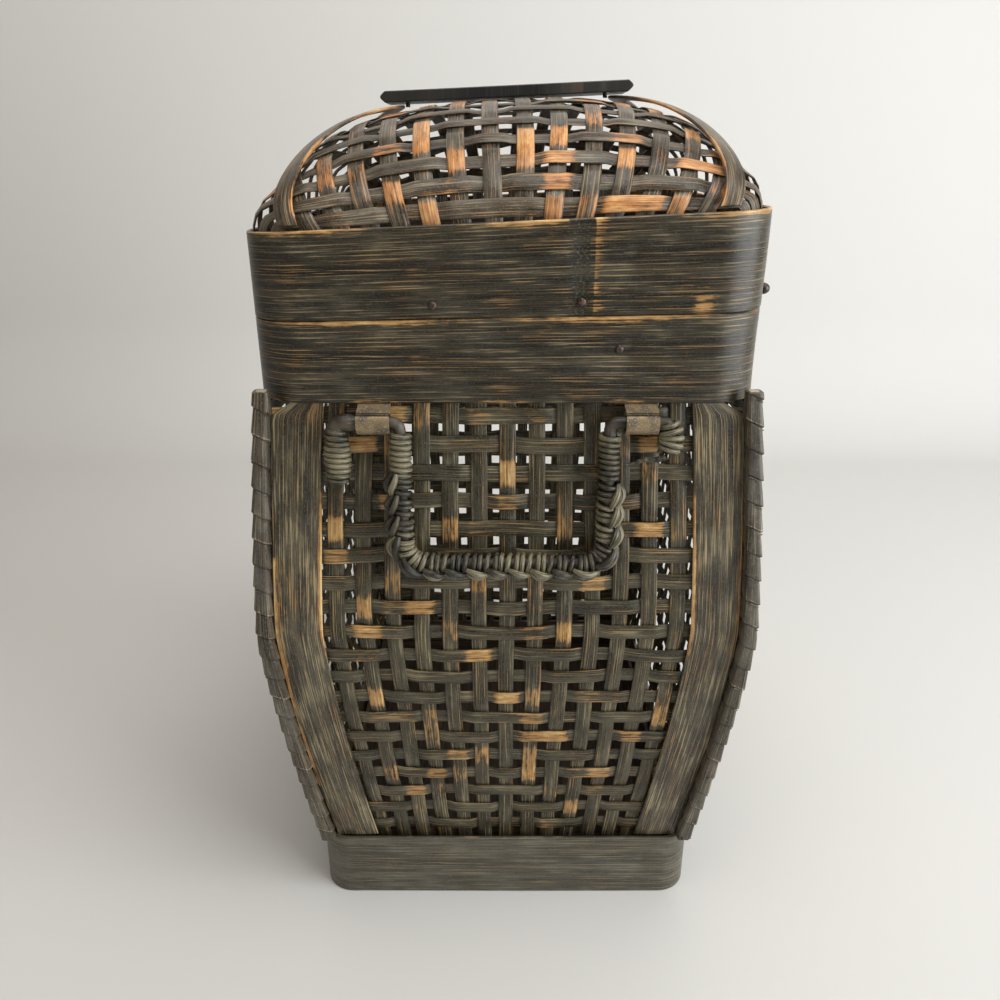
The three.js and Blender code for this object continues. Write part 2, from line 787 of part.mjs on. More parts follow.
// A tube of a few sides through the points of a route.
function tubeAlong(route, radius) {
  const rings = [];
  let across = new THREE.Vector3(1, 0, 0);
  route.forEach((point, k) => {
    const before = route[Math.max(k - 1, 0)];
    const after = route[Math.min(k + 1, route.length - 1)];
    const tangent = after.clone().sub(before).normalize();
    across = across.clone().addScaledVector(tangent, -across.dot(tangent)).normalize();
    const other = new THREE.Vector3().crossVectors(tangent, across);
    rings.push(
      Array.from({ length: cordSides }, (_, n) => {
        const angle = (n * 2 * Math.PI) / cordSides;
        const offset = across.clone().multiplyScalar(radius * Math.cos(angle));
        return offset.addScaledVector(other, radius * Math.sin(angle)).add(point);
      }),
    );
  });
  return loft(rings);
}

// Prints the least gap between two loops, measured on the route's points.
function reportGap(route, radius) {
  const apart = Math.ceil(loopSteps / 2);
  let least = Infinity;
  route.forEach((point, k) => {
    route.slice(k + apart).forEach((other) => {
      least = Math.min(least, point.distanceTo(other) - 2 * radius);
    });
  });
  console.log(`least gap between loops: ${least.toFixed(2)} mm`);
}

// The rod's line down one leg, along the grip and up the other leg.
function gripLine() {
  const corner = (side) => ({
    at: new THREE.Vector2(side * bailHalfWidth, bailDrop),
    radius: bailCornerRadius,
  });
  const top = (side) => ({ at: new THREE.Vector2(side * bailHalfWidth, windingStart) });
  return bailLine([top(-1), corner(-1), corner(1), top(1)]);
}

function stubLine(side, drop) {
  const top = new THREE.Vector2(side * stubReach, endWindingStart);
  return new THREE.LineCurve(top, new THREE.Vector2(side * stubReach, drop - endWindingStop));
}

// A bracket: sheet folded round the rod, with a tab that slants in under the rim band and rises
// behind it. It is drawn with out to the right and z up, and extruded across.
function bracket(face, side) {
  const bore = bailCoreRadius + bracketPlay;
  const radius = bore + bracketSheet;
  const centre = new THREE.Vector2(pivotOut, pivotZ);
  const tabOut = rimWidth / 2 - bandThickness - clearance - sideStand;
  const bend = new THREE.Vector2(tabOut, rimLowZ - clearance);
  const away = bend.clone().sub(centre);
  const touch = away.angle() - Math.acos(radius / away.length());
  const inner = touch + Math.acos(1 - bracketSheet / radius);
  const onRing = (angle) =>
    new THREE.Vector2(Math.cos(angle), Math.sin(angle)).multiplyScalar(radius).add(centre);
  const slope = bend.clone().sub(onRing(touch)).normalize();
  const foot = onRing(inner);
  const innerOut = tabOut - bracketSheet;
  const rise = (innerOut - foot.x) / slope.x;
  const topZ = rimLowZ + bracketTabRise;
  const shape = new THREE.Shape();
  shape.moveTo(tabOut, topZ);
  shape.lineTo(innerOut, topZ);
  shape.lineTo(innerOut, foot.y + slope.y * rise);
  for (let n = 0; n <= ringSteps; n++) {
    const turn = THREE.MathUtils.lerp(inner, touch + 2 * Math.PI, n / ringSteps);
    const { x, y } = onRing(turn);
    shape.lineTo(x, y);
  }
  shape.lineTo(bend.x, bend.y);
  shape.closePath();
  const hole = new THREE.Path().absarc(pivotOut, pivotZ, bore, 0, 2 * Math.PI);
  shape.holes.push(hole);
  const settings = { depth: bracketWidth, bevelEnabled: false, curveSegments: ringSteps };
  const sheet = new THREE.ExtrudeGeometry(shape, settings);
  sheet.translate(0, 0, -bracketWidth / 2);
  const position = sheet.getAttribute("position");
  for (let i = 0; i < position.count; i++) {
    const across = side * bracketX + position.getZ(i);
    const placed = face.place(across, position.getX(i) + face.reach, position.getY(i));
    position.setXYZ(i, placed.x, placed.y, placed.z);
  }
  return outward(sheet);
}

// The same surface with its triangles facing out.
function outward(geometry) {
  const merged = mergeVertices(geometry.deleteAttribute("normal").deleteAttribute("uv"));
  const position = merged.getAttribute("position");
  const points = Array.from({ length: position.count }, (_, i) =>
    new THREE.Vector3().fromBufferAttribute(position, i),
  );
  const index = Array.from(merged.index.array);
  const faces = Array.from({ length: index.length / 3 }, (_, i) => index.slice(3 * i, 3 * i + 3));
  return shell(points, faces);
}

// The basket, from the ground up

const baseHalf = rimWidth / 2 - baseInset;
const stakeFoot = wallAt(wallRows + stakeFootRows).out + sideStand;
const hoopHalf = stakeFoot - stripThickness / 2 - clearance;
const panelHalf = baseHalf - baseBandThickness - clearance;

add("base_band", hoop(baseHalf, baseBandThickness, 0, baseBandHeight), greyBamboo);
add("base_hoop", hoop(hoopHalf, hoopThickness, hoopFloorZ, baseBandHeight), darkBamboo);
add("bottom_panel", plate(panelHalf, panelFloorZ, panelFloorZ + panelThickness), darkBamboo);

for (const [name, face] of Object.entries(faces)) {
  add(`${name}_stakes`, stakesOf(face), darkBamboo);
  add(`${name}_weavers`, weaversOf(face), darkBamboo);
  add(`${name}_strap_a`, strapOn(face, -1), wornBamboo);
  add(`${name}_strap_b`, strapOn(face, 1), wornBamboo);
}
for (const [name, signX, signY] of [
  ["near_left", -1, -1],
  ["near_right", 1, -1],
  ["far_left", -1, 1],
  ["far_right", 1, 1],
]) {
  add(`${name}_corner_rod`, cornerBar(rodHalf, signX, signY), darkBamboo);
  add(`${name}_corner_binding`, cornerBinding(signX, signY), greyBamboo);
}

// A tack on the near end of a band, with its head clear of the face, and the hole for its shaft.
function nearTack(x, z) {
  const tack = nail(tackShaftRadius, bandThickness, tackHeadRadius, tackHeadHeight, tackSteps);
  return tack.rotateX(Math.PI).translate(x, -rimLength / 2 - clearance, z);
}

function nearHole(x, z) {
  return drill(tackShaftRadius + clearance, 4 * bandThickness).translate(x, -rimLength / 2, z);
}

const rimTackZ = rimTopZ - rimTackBelowEdge;
const lidTackZ = lidLowZ + lidTackAboveEdge;
const rimBand = hoop(rimWidth / 2, bandThickness, rimLowZ, rimTopZ);
const collarLowZ = rimLowZ + collarFloorDrop;
const collarTopZ = rimTopZ + collarRise;
add("rim_band", cut(rimBand, nearHole(rimTackX, rimTackZ)), darkBamboo);
add("rim_collar", hoop(collarHalf, hoopThickness, collarLowZ, collarTopZ), wornBamboo);
add("rim_tack", nearTack(rimTackX, rimTackZ), nailColour, 0.5, 0.8);

// The lid
const lap = new THREE.BoxGeometry(2 * lapHalfWidth, 2 * lapDepth, 2 * lidBandHeight);
lap.translate(lapX, -rimLength / 2, lidLowZ + lidBandHeight / 2);
const ball = new THREE.SphereGeometry(sideTackRadius, tackSteps, tackSteps / 2);
const sideTack = solidOf(
  nail(tackShaftRadius, bandThickness + clearance, tackShaftRadius, clearance, tackSteps),
).add(solidOf(ball.translate(0, sideTackRadius * 0.8, 0)));
const sideTackHole = drill(tackShaftRadius + clearance, 4 * bandThickness);
sideTackHole.rotateZ(Math.PI / 2).translate(rimWidth / 2, sideTackY, lidTackZ);
const lidBand = hoop(rimWidth / 2, bandThickness, lidLowZ, lidTopZ);
const lidHoles = lidTackX.map((x) => nearHole(x, lidTackZ));
add("lid_band", cut(lidBand, lap, sideTackHole, ...lidHoles), darkBamboo);
add(
  "lid_hoop",
  hoop(lidHoopHalf, lidHoopThickness, lidLowZ + lidHoopLift, lidTopZ - lidHoopTopDrop),
  darkBamboo,
);
add("lid_long_strips", lidLongStrips(), darkBamboo);
add("lid_cross_strips", lidCrossStrips(), darkBamboo);
add("lid_tack_left", nearTack(lidTackX[0], lidTackZ), nailColour, 0.5, 0.8);
add("lid_tack_right", nearTack(lidTackX[1], lidTackZ), nailColour, 0.5, 0.8);
add(
  "lid_side_tack",
  geometryOf(sideTack)
    .rotateZ(-Math.PI / 2)
    .translate(rimWidth / 2 + clearance, sideTackY, lidTackZ),
  nailColour,
  0.4,
  0.8,
);

// The pins go through the board and the bows, square to the leaning lid's level.
const bows = { left: lidBow(-1), right: lidBow(1) };
bows.left.computeBoundingBox();
const boardLowZ = bows.left.boundingBox.max.z + clearance;
const boardTopZ = boardLowZ + boardThickness;
const pinHole = (x) =>
  drill(pinRadius + clearance, 4 * boardDepth).rotateX(Math.PI / 2).translate(x, 0, boardTopZ);
add("lid_bow_left", cut(bows.left, pinHole(-pinX)), wornBamboo);
add("lid_bow_right", cut(bows.right, pinHole(pinX)), wornBamboo);
add("grip_board", cut(gripBoard(boardLowZ), pinHole(-pinX), pinHole(pinX)), boardColour, 0.6);
for (const [name, side] of [
  ["grip_pin_left", -1],
  ["grip_pin_right", 1],
]) {
  const length = boardThickness + 2 * clearance + bowThickness;
  const pin = nail(pinRadius, length, pinHeadRadius, pinHeadHeight, tackSteps);
  pin.rotateX(Math.PI / 2).translate(side * pinX, 0, boardTopZ + clearance);
  add(name, pin, nailColour, 0.5, 0.8);
}

// The handles
for (const name of ["near", "far"]) {
  const face = faces[name];
  add(`${name}_bail_core`, bailCore(face), cordColour, 0.85);
  add(`${name}_bail_winding`, winding(face, gripLine(), windingLoops, cordRadius), cordColour, 0.9);
  const leftStub = stubLine(-1, leftStubDrop);
  const rightStub = stubLine(1, rightStubDrop);
  add(`${name}_left_end_wrap`, winding(face, leftStub, endLoops, endCordRadius), cordColour, 0.9);
  add(`${name}_right_end_wrap`, winding(face, rightStub, endLoops, endCordRadius), cordColour, 0.9);
  add(`${name}_left_bracket`, bracket(face, -1), brassColour, 0.55, 0.6);
  add(`${name}_right_bracket`, bracket(face, 1), brassColour, 0.55, 0.6);
}

export default basket;
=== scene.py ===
import bpy
import numpy as np
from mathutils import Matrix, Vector


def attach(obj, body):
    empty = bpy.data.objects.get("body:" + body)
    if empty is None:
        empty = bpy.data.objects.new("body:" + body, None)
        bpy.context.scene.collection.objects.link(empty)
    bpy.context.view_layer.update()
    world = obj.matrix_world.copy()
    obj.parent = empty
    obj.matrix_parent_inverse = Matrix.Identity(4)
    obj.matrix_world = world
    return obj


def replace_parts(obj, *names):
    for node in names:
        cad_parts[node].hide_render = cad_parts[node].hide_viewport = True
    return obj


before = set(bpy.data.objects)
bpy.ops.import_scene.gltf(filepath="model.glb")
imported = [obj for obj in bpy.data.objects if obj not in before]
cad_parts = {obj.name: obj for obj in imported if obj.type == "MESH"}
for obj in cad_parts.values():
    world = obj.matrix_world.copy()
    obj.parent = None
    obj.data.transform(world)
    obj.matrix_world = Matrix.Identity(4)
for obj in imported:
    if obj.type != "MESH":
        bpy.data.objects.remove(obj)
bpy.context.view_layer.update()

# Base band
# One wide strip of dull, dark split bamboo, bent round the foot of the basket with rounded corners.
# The basket stands on its lower edge, and the wall strips are wedged inside it against a hoop.

MM = 0.001
BASE_HALF = (106.9, 126.9)
BASE_CORNER = 16.9
BASE_HEIGHT = 40.5
BASE_THICKNESS = 2.4
RIM_LOW, RIM_HIGH, RIM_LEAN = 300.7, 338.5, 0.019
LID_LOW, LID_HIGH, LID_LEAN = 338.8, 378.3, 0.024
GRAIN_LENGTH = 4000
chance = np.random.default_rng(11)


def length_run(points):
    """The length run up to each point of a line."""
    return np.concatenate([[0], np.cumsum(np.linalg.norm(np.diff(points, axis=0), axis=1))])


def rounded_frame(half, radius, straight, corner):
    """A rounded rectangle, from the middle of the far side and back.

    Straights join quarter circles: centre + radius * (cos a, sin a) for a from 0 to a quarter turn.
    Returns points, the way out at each, and the length run up to each and back to the start.
    """
    angle = np.linspace(0, np.pi / 2, corner + 1) + np.pi / 2 * np.arange(1, 5)[:, None]
    way = np.stack([np.cos(angle), np.sin(angle)], axis=-1)
    arc = np.sign(way[:, corner // 2, None]) * (np.array(half) - radius) + radius * way
    share = np.linspace(0, 1, straight + 2)[1:-1, None]
    side = arc[:, -1:] * (1 - share) + np.roll(arc[:, :1], -1, axis=0) * share
    points = np.concatenate([arc, side], axis=1).reshape(-1, 2)
    ways = np.concatenate([way, np.repeat(way[:, -1:], straight, axis=1)], axis=1).reshape(-1, 2)
    return points, ways, length_run(np.append(points, points[:1], axis=0))


def piece(name, rings, along, around, body, material, looped=False, worn=0.0, sharp=40):
    """A closed mesh through rings of points, in millimetres.

    rings is (strips, stations, points round, 3). Each face joins two neighbours along and two round,
    and an open strip is capped by quads from one side of its end ring to the other. along is the
    length run at each station and around the place at each point round, both in millimetres, for the
    grain's UV map, and around may leave out its last value where that is the first again. The faces
    are turned round where the volume, the sum of a . (b x c) / 6, is negative.
    """
    strips, stations, sides = rings.shape[:3]
    number = np.arange(strips * stations * sides).reshape(strips, stations, sides)
    spans = stations if looped else stations - 1
    s, n, k = np.meshgrid(np.arange(strips), np.arange(spans), np.arange(sides), indexing="ij")
    s, n, k = s.ravel(), n.ravel(), k.ravel()
    after, right = (n + 1) % stations, (k + 1) % sides
    faces = [number[s, n, k], number[s, n, right], number[s, after, right], number[s, after, k]]
    faces = np.stack(faces, axis=1)
    along = np.broadcast_to(along, (strips, spans + 1))
    u = np.stack([along[s, n], along[s, n], along[s, n + 1], along[s, n + 1]], axis=1)
    if len(around) == sides:
        around = np.append(around, around[0])
    v = np.stack([around[k], around[k + 1], around[k + 1], around[k]], axis=1)
    if not looped:
        first = np.arange(sides // 2 - 1)
        cap = np.stack([first, first + 1, sides - 2 - first, sides - 1 - first], axis=1)
        for station, order in ((0, cap[:, ::-1]), (stations - 1, cap)):
            faces = np.concatenate([faces, number[:, station][:, order].reshape(-1, 4)])
            u = np.concatenate([u, np.repeat(along[:, station], 4 * len(cap)).reshape(-1, 4)])
            v = np.concatenate([v, np.tile(around[order].reshape(-1, 4), (strips, 1))])
    points = rings.reshape(-1, 3) * MM
    a, b, c, d = (points[faces[:, i]] for i in range(4))
    if np.sum(a * np.cross(b, c)) + np.sum(a * np.cross(c, d)) < 0:
        faces, u, v = faces[:, ::-1], u[:, ::-1], v[:, ::-1]
    mesh = bpy.data.meshes.new(name)
    mesh.from_pydata(points.tolist(), [], faces.tolist())
    grain = mesh.uv_layers.new(name="Grain")
    grain.data.foreach_set("uv", (np.stack([u, v], axis=-1) * MM).astype(np.float32).ravel())
    wear = mesh.attributes.new("worn", "FLOAT", "POINT")
    wear.data.foreach_set("value", np.broadcast_to(worn, rings.shape[:3]).astype(np.float32).ravel())
    mesh.shade_smooth()
    mesh.set_sharp_from_angle(angle=np.radians(sharp))
    mesh.materials.append(material)
    made = bpy.data.objects.new(name, mesh)
    bpy.context.scene.collection.objects.link(made)
    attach(made, body)
    return made


def feed(tree, socket, value):
    """Link a socket to another one, or give it a value."""
    if isinstance(value, bpy.types.NodeSocket):
        tree.links.new(value, socket)
    else:
        socket.default_value = value


def put(tree, kind, sockets, **settings):
    """A node of a kind in a tree, with its settings made and each input linked or given a value."""
    made = tree.nodes.new("ShaderNode" + kind)
    for key, value in settings.items():
        setattr(made, key, value)
    for key, value in sockets.items():
        feed(tree, made.inputs[key], value)
    return made


def group(name, inputs, outputs):
    """An empty shader node group with named sockets: its tree, its input sockets and its output node."""
    tree = bpy.data.node_groups.new(name, "ShaderNodeTree")
    for label, (kind, value) in inputs.items():
        socket = tree.interface.new_socket(label, in_out="INPUT", socket_type="NodeSocket" + kind)
        if value is not None:
            socket.default_value = value
    for label, kind in outputs.items():
        tree.interface.new_socket(label, in_out="OUTPUT", socket_type="NodeSocket" + kind)
    return tree, tree.nodes.new("NodeGroupInput").outputs, tree.nodes.new("NodeGroupOutput")


def calc(tree, way, *values):
    """One sum on two or three values in a tree, kept between 0 and 1 for a mask when way starts with +."""
    clamped = way.startswith("+")
    made = put(tree, "Math", {}, operation=way.lstrip("+"), use_clamp=clamped)
    for socket, value in zip(made.inputs, values):
        feed(tree, socket, value)
    return made.outputs[0]


def scaled(tree, value, factor, added):
    """A value in a tree, as value * factor + added."""
    return calc(tree, "MULTIPLY_ADD", value, factor, added)


def blend(tree, share, first, second):
    """Two colours mixed in a tree by a share."""
    return put(tree, "Mix", {0: share, 6: first, 7: second}, data_type="RGBA").outputs[2]


def band_of(tree, value, low, high):
    """0 below low and 1 above high, with a smooth rise between."""
    given = {"Value": value, "From Min": low, "From Max": high}
    return put(tree, "MapRange", given, interpolation_type="SMOOTHSTEP").outputs["Result"]


def fibres(tree, place, length, width, seed, detail=3.0):
    """Noise drawn out along the grain: one cell is length long and width wide, in metres."""
    spread = put(tree, "VectorMath", {0: place, 1: (1 / length, 1 / width, 0)}, operation="MULTIPLY")
    moved = put(tree, "VectorMath", {0: spread.outputs[0], 1: (0, 0, seed)}, operation="ADD")
    noise = {"Vector": moved.outputs[0], "Scale": 1.0, "Detail": detail, "Roughness": 0.62}
    return put(tree, "TexNoise", noise).outputs["Fac"]


def bamboo_group():
    """Split bamboo under dark stain: fibre streaks along the grain, worn tan places and dust.

    Worn under 0 stands for a lap that is scuffed grey.
    """
    inputs = {
        "Grain": ("Vector", None),
        "Worn": ("Float", 0.0),
        "Stain": ("Color", (0.02, 0.014, 0.01, 1)),
        "Brown": ("Color", (0.06, 0.035, 0.02, 1)),
        "Streak": ("Color", (0.3, 0.2, 0.1, 1)),
        "Wear": ("Color", (0.4, 0.18, 0.05, 1)),
        "Pale": ("Color", (0.62, 0.42, 0.18, 1)),
        "Dust": ("Color", (0.2, 0.19, 0.16, 1)),
        "Streaks": ("Float", 0.3),
        "Dusting": ("Float", 0.3),
    }
    outputs = {"Color": "Color", "Roughness": "Float", "Height": "Float"}
    tree, given, made = group("Stained bamboo", inputs, outputs)
    place = given["Grain"]
    fine = fibres(tree, place, 0.045, 0.0007, 1.0)
    hair = fibres(tree, place, 0.016, 0.0004, 6.0)
    broad = fibres(tree, place, 0.16, 0.005, 4.0)
    cloud = fibres(tree, place, 0.03, 0.014, 21.0)
    spot = fibres(tree, place, 0.0014, 0.0007, 14.0, 4.0)
    edge = fibres(tree, place, 0.007, 0.0022, 31.0, 2.0)
    mixed = scaled(tree, broad, 0.5, calc(tree, "MULTIPLY", fine, 0.5))
    body = blend(tree, band_of(tree, mixed, 0.4, 0.6), given["Stain"], given["Brown"])
    lift = scaled(tree, cloud, 0.45, scaled(tree, hair, 0.45, fine))
    least = scaled(tree, given["Streaks"], -0.3, 1.14)
    most = calc(tree, "ADD", least, 0.12)
    streak = put(tree, "MapRange", {"Value": lift, "From Min": least, "From Max": most})
    scuffed = calc(tree, "+MULTIPLY", given["Worn"], -1.0)
    plain = calc(tree, "SUBTRACT", 1.0, scuffed)
    shown = calc(tree, "MULTIPLY", streak.outputs["Result"], plain)
    coloured = blend(tree, shown, body, given["Streak"])
    warmth = scaled(tree, cloud, -0.7, scaled(tree, hair, 0.5, fine))
    ember = calc(tree, "MULTIPLY", band_of(tree, warmth, 0.52, 0.62), given["Streaks"])
    ember = calc(tree, "MULTIPLY", ember, plain)
    coloured = blend(tree, ember, coloured, given["Wear"])
    rubbed = scaled(tree, hair, 1.6, scaled(tree, fine, 1.6, -2.45))
    rubbed = scaled(tree, edge, 1.2, rubbed)
    rubbed = scaled(tree, given["Worn"], 1.3, calc(tree, "ADD", rubbed, -0.5))
    warm = blend(tree, band_of(tree, rubbed, 0.0, 0.45), coloured, given["Wear"])
    bright = blend(tree, band_of(tree, rubbed, 0.5, 0.95), warm, given["Pale"])
    dusty = calc(tree, "MULTIPLY", band_of(tree, cloud, 0.4, 0.7), given["Dusting"])
    grainy = calc(tree, "MAXIMUM", given["Dusting"], scuffed)
    grains = calc(tree, "MULTIPLY", band_of(tree, spot, 0.5, 0.74), grainy)
    dust = scaled(tree, dusty, 0.35, calc(tree, "MULTIPLY", grains, 0.55))
    speck = calc(tree, "MULTIPLY", band_of(tree, spot, 0.76, 0.8), given["Dusting"])
    dust = calc(tree, "+ADD", dust, speck)
    feed(tree, made.inputs["Color"], blend(tree, dust, bright, given["Dust"]))
    rough = scaled(tree, fine, 0.3, 0.14)
    feed(tree, made.inputs["Roughness"], calc(tree, "+MULTIPLY_ADD", dust, 0.35, rough))
    height = scaled(tree, broad, 0.4, scaled(tree, hair, 0.3, fine))
    feed(tree, made.inputs["Height"], height)
    return tree


stained_bamboo = bamboo_group()


def new_material(name):
    """A material with nodes, and its tree."""
    material = bpy.data.materials.new(name)
    material.use_nodes = True
    return material, material.node_tree


def dress(material, sockets, height=None, depth=0.0, strength=0.0):
    """Feed a material's own shader its sockets and, where a height is given, a relief."""
    tree = material.node_tree
    surface = tree.nodes["Principled BSDF"]
    for label, value in sockets.items():
        feed(tree, surface.inputs[label], value)
    if height is not None:
        relief = put(tree, "Bump", {"Height": height, "Distance": depth, "Strength": strength})
        feed(tree, surface.inputs["Normal"], relief.outputs["Normal"])
    return material


def bamboo(name, gloss=0.35, **given):
    """A stained bamboo material: the shared effect with this piece's own colours and amounts."""
    material, tree = new_material(name)
    effect = tree.nodes.new("ShaderNodeGroup")
    effect.node_tree = stained_bamboo
    feed(tree, effect.inputs["Grain"], put(tree, "UVMap", {}, uv_map="Grain").outputs["UV"])
    worn = put(tree, "Attribute", {}, attribute_name="worn").outputs["Fac"]
    feed(tree, effect.inputs["Worn"], worn)
    for label, value in given.items():
        effect.inputs[label].default_value = (*value, 1) if isinstance(value, tuple) else value
    made = effect.outputs
    sockets = {"Base Color": made["Color"], "Roughness": made["Roughness"], "Specular IOR Level": gloss}
    return dress(material, sockets, made["Height"], 0.00025, 0.8)


def lean(points):
    """The hand-made basket's upper edges rise to the right: z + slope * x, 0 below the rim band."""
    z = points[..., 2]
    at_rim = np.clip((z - RIM_LOW) / (RIM_HIGH - RIM_LOW), 0, 1)
    at_lid = np.clip((z - LID_LOW) / (LID_HIGH - LID_LOW), 0, 1)
    points = points.copy()
    points[..., 2] = z + (RIM_LEAN * at_rim + LID_LEAN * at_lid) * points[..., 0]
    return points


def band(name, half, radius, low, high, thickness, shape, body, material, worn=None):
    """A bent strip: an upright rounded section carried round a rounded rectangle.

    shape(path, height) is how far each place stands out or in, in millimetres.
    """
    path, way, run = rounded_frame(half, radius, straight=60, corner=14)
    rise, edge = high - low, 0.5
    outer = [edge, *(rise * np.array([0.12, 0.3, 0.5, 0.7, 0.88])), rise - edge]
    height = np.array([*outer, rise, rise, rise - edge, rise / 2, edge, 0, 0])
    depth = thickness * np.array([0] * len(outer) + [0.3, 0.7, 1, 1, 1, 0.7, 0.3])
    stand = shape(path, height[None, :]) - depth
    rings = np.empty((1, len(path), len(depth), 3))
    rings[0, ..., :2] = path[:, None] + way[:, None] * stand[..., None]
    rings[0, ..., 2] = low + height
    worn = worn(path, height[None, :])[None] if worn else 0.0
    return piece(name, lean(rings), run, height, body, material, looped=True, worn=worn)


def unevenness(path, height, in_x, in_y, in_z):
    """Slow waves, each given as reach, length and start: (wave in x + wave in y) * wave in height."""
    waves = in_x[0] * np.sin(path[:, :1] / in_x[1] + in_x[2])
    waves = waves + in_y[0] * np.sin(path[:, 1:] / in_y[1] + in_y[2])
    return waves * np.sin(height / in_z[0] + in_z[1])


def base_shape(path, height):
    """Slow waves round the base band."""
    return unevenness(path, height, (0.25, 31, 1), (0.2, 27, 0), (19, 0.6))


dull_bamboo = bamboo(
    "Dull dark bamboo", Stain=(0.045, 0.041, 0.03), Brown=(0.095, 0.085, 0.06),
    Streak=(0.21, 0.18, 0.115), Wear=(0.3, 0.2, 0.1), Pale=(0.42, 0.36, 0.24), Streaks=0.4, Dusting=0.55,
)
base_band = band(
    "base_strip", BASE_HALF, BASE_CORNER, 0, BASE_HEIGHT, BASE_THICKNESS, base_shape,
    "basket", dull_bamboo,
)
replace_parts(base_band, "base_band")

# Bottom and inner hoops
# A thin bottom panel lies inside the base band. The base hoop, the rim collar and the lid hoop are
# bent strips inside the bands, out of sight from outside. All are kept as they are in the frame.


def speckle(tree, place, scale, detail):
    """Noise of a scale at a place in a tree."""
    return put(tree, "TexNoise", {"Vector": place, "Scale": scale, "Detail": detail}).outputs["Fac"]


def plain_bamboo(name, light, dark, scale):
    """Plain split bamboo on a carried-over solid: fibres drawn out where the scale is small."""
    material, tree = new_material(name)
    place = put(tree, "TexCoord", {}).outputs["Object"]
    spread = put(tree, "VectorMath", {0: place, 1: scale}, operation="MULTIPLY").outputs[0]
    noise = speckle(tree, spread, 1.0, 4.0)
    colour = blend(tree, band_of(tree, noise, 0.3, 0.75), dark, light)
    rough = scaled(tree, noise, 0.3, 0.45)
    return dress(material, {"Base Color": colour, "Roughness": rough}, noise, 0.0003, 0.6)


inner_bamboo = plain_bamboo("Inner bamboo", (0.12, 0.075, 0.04, 1), (0.02, 0.013, 0.009, 1), (12, 12, 900))
floor_bamboo = plain_bamboo("Bottom bamboo", (0.1, 0.065, 0.035, 1), (0.02, 0.014, 0.01, 1), (500, 14, 14))
for inner in ("base_hoop", "rim_collar", "lid_hoop"):
    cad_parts[inner].data.materials.clear()
    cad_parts[inner].data.materials.append(inner_bamboo)
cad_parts["bottom_panel"].data.materials.clear()
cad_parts["bottom_panel"].data.materials.append(floor_bamboo)

# Woven walls
# Flat strips of split bamboo in an open twill: each weaver passes over two stakes and under two, and
# the twill mirrors about the middle stake. The strips end inside the rim band and the base band.

WALL_TOP = 105
WALL_FOOT = 96
BELLY_Z = 185
BELLY_RISE = 8.3
BELLY_POWER = 1.3
TOP_SLOPE, FOOT_SLOPE = 1.05, 2
ROWS = 19
SIDE_STAND = 4.5
END_STAND = 24.5
STRAP_COVER, STRAP_CLEAR = 22.2, 1
STRIP = 7.7
STRIP_THICKNESS = 0.85
STAKE_SWAY, WEAVER_SWAY = 0.45, 0.62
# Each wall: the way across it, the way out of it, how much further out than the walls' curve it
# stands, how much wider than that it is, its number of stakes, and how far its weavers run on.
FACES = {
    "near": ((1, 0), (0, -1), END_STAND, 0, 13, 1.5),
    "far": ((-1, 0), (0, 1), END_STAND, 0, 13, 1.5),
    "left": ((0, -1), (-1, 0), SIDE_STAND, END_STAND, 15, -1.8),
    "right": ((0, 1), (1, 0), SIDE_STAND, END_STAND, 15, -1.8),
}

wall_z = np.linspace(RIM_LOW, BASE_HEIGHT, 600)
above = wall_z > BELLY_Z
wall_fall = np.where(above, BELLY_RISE, WALL_TOP + BELLY_RISE - WALL_FOOT)
wall_far = np.where(above, RIM_LOW, BASE_HEIGHT)
wall_share = (wall_z - BELLY_Z) / (wall_far - BELLY_Z)
wall_out = WALL_TOP + BELLY_RISE - wall_fall * wall_share**BELLY_POWER
wall_run = length_run(np.stack([wall_z, wall_out], axis=1))
ROW_PITCH = wall_run[-1] / ROWS


def wall_at(row):
    """The wall's middle line at a row: how far out, how high, and its outward normal.

    It falls away from the belly by share^1.3 both ways, and runs on straight inside the bands.
    """
    run = np.clip(row, 0, ROWS) * ROW_PITCH
    out = np.interp(run, wall_run, wall_out) + TOP_SLOPE * np.minimum(row, 0)
    out = out - FOOT_SLOPE * np.maximum(row - ROWS, 0)
    z = np.interp(run, wall_run, wall_z) - ROW_PITCH * (row - np.clip(row, 0, ROWS))
    slope = np.interp(run, wall_run, np.gradient(wall_out, wall_run))
    fall = np.interp(run, wall_run, np.gradient(wall_z, wall_run))
    return out, z, (-fall, slope)


def facing(face, u, away, z):
    """Points seen from a face of the basket: how far across it, out from the middle, and up."""
    across, outward = FACES[face][:2]
    x = across[0] * u + outward[0] * away
    y = across[1] * u + outward[1] * away
    return np.stack(np.broadcast_arrays(x, y, z), axis=-1)


def on_wall(face, u, row, height):
    """Points on a wall at a place across, a row and a height off it."""
    out, z, normal = wall_at(row)
    return facing(face, u, out + FACES[face][2] + height * normal[0], z + height * normal[1])


def half_across(face, row):
    """Half the width of a wall at a row."""
    return wall_at(row)[0] + FACES[face][3]


def stake_place(face, stake, row):
    """How far across a stake stands: evenly spaced between the straps, closing up with the wall."""
    clear = half_across(face, 0.0) - STRAP_COVER - STRAP_CLEAR
    pitch = (2 * clear - STRIP) / (FACES[face][4] - 1)
    return stake * pitch * half_across(face, row) / half_across(face, 0.0)


def over(row, stake):
    """+1 where a weaver passes over a stake and -1 where it passes under."""
    return np.where((np.abs(stake) - row) % 4 < 2, 1.0, -1.0)


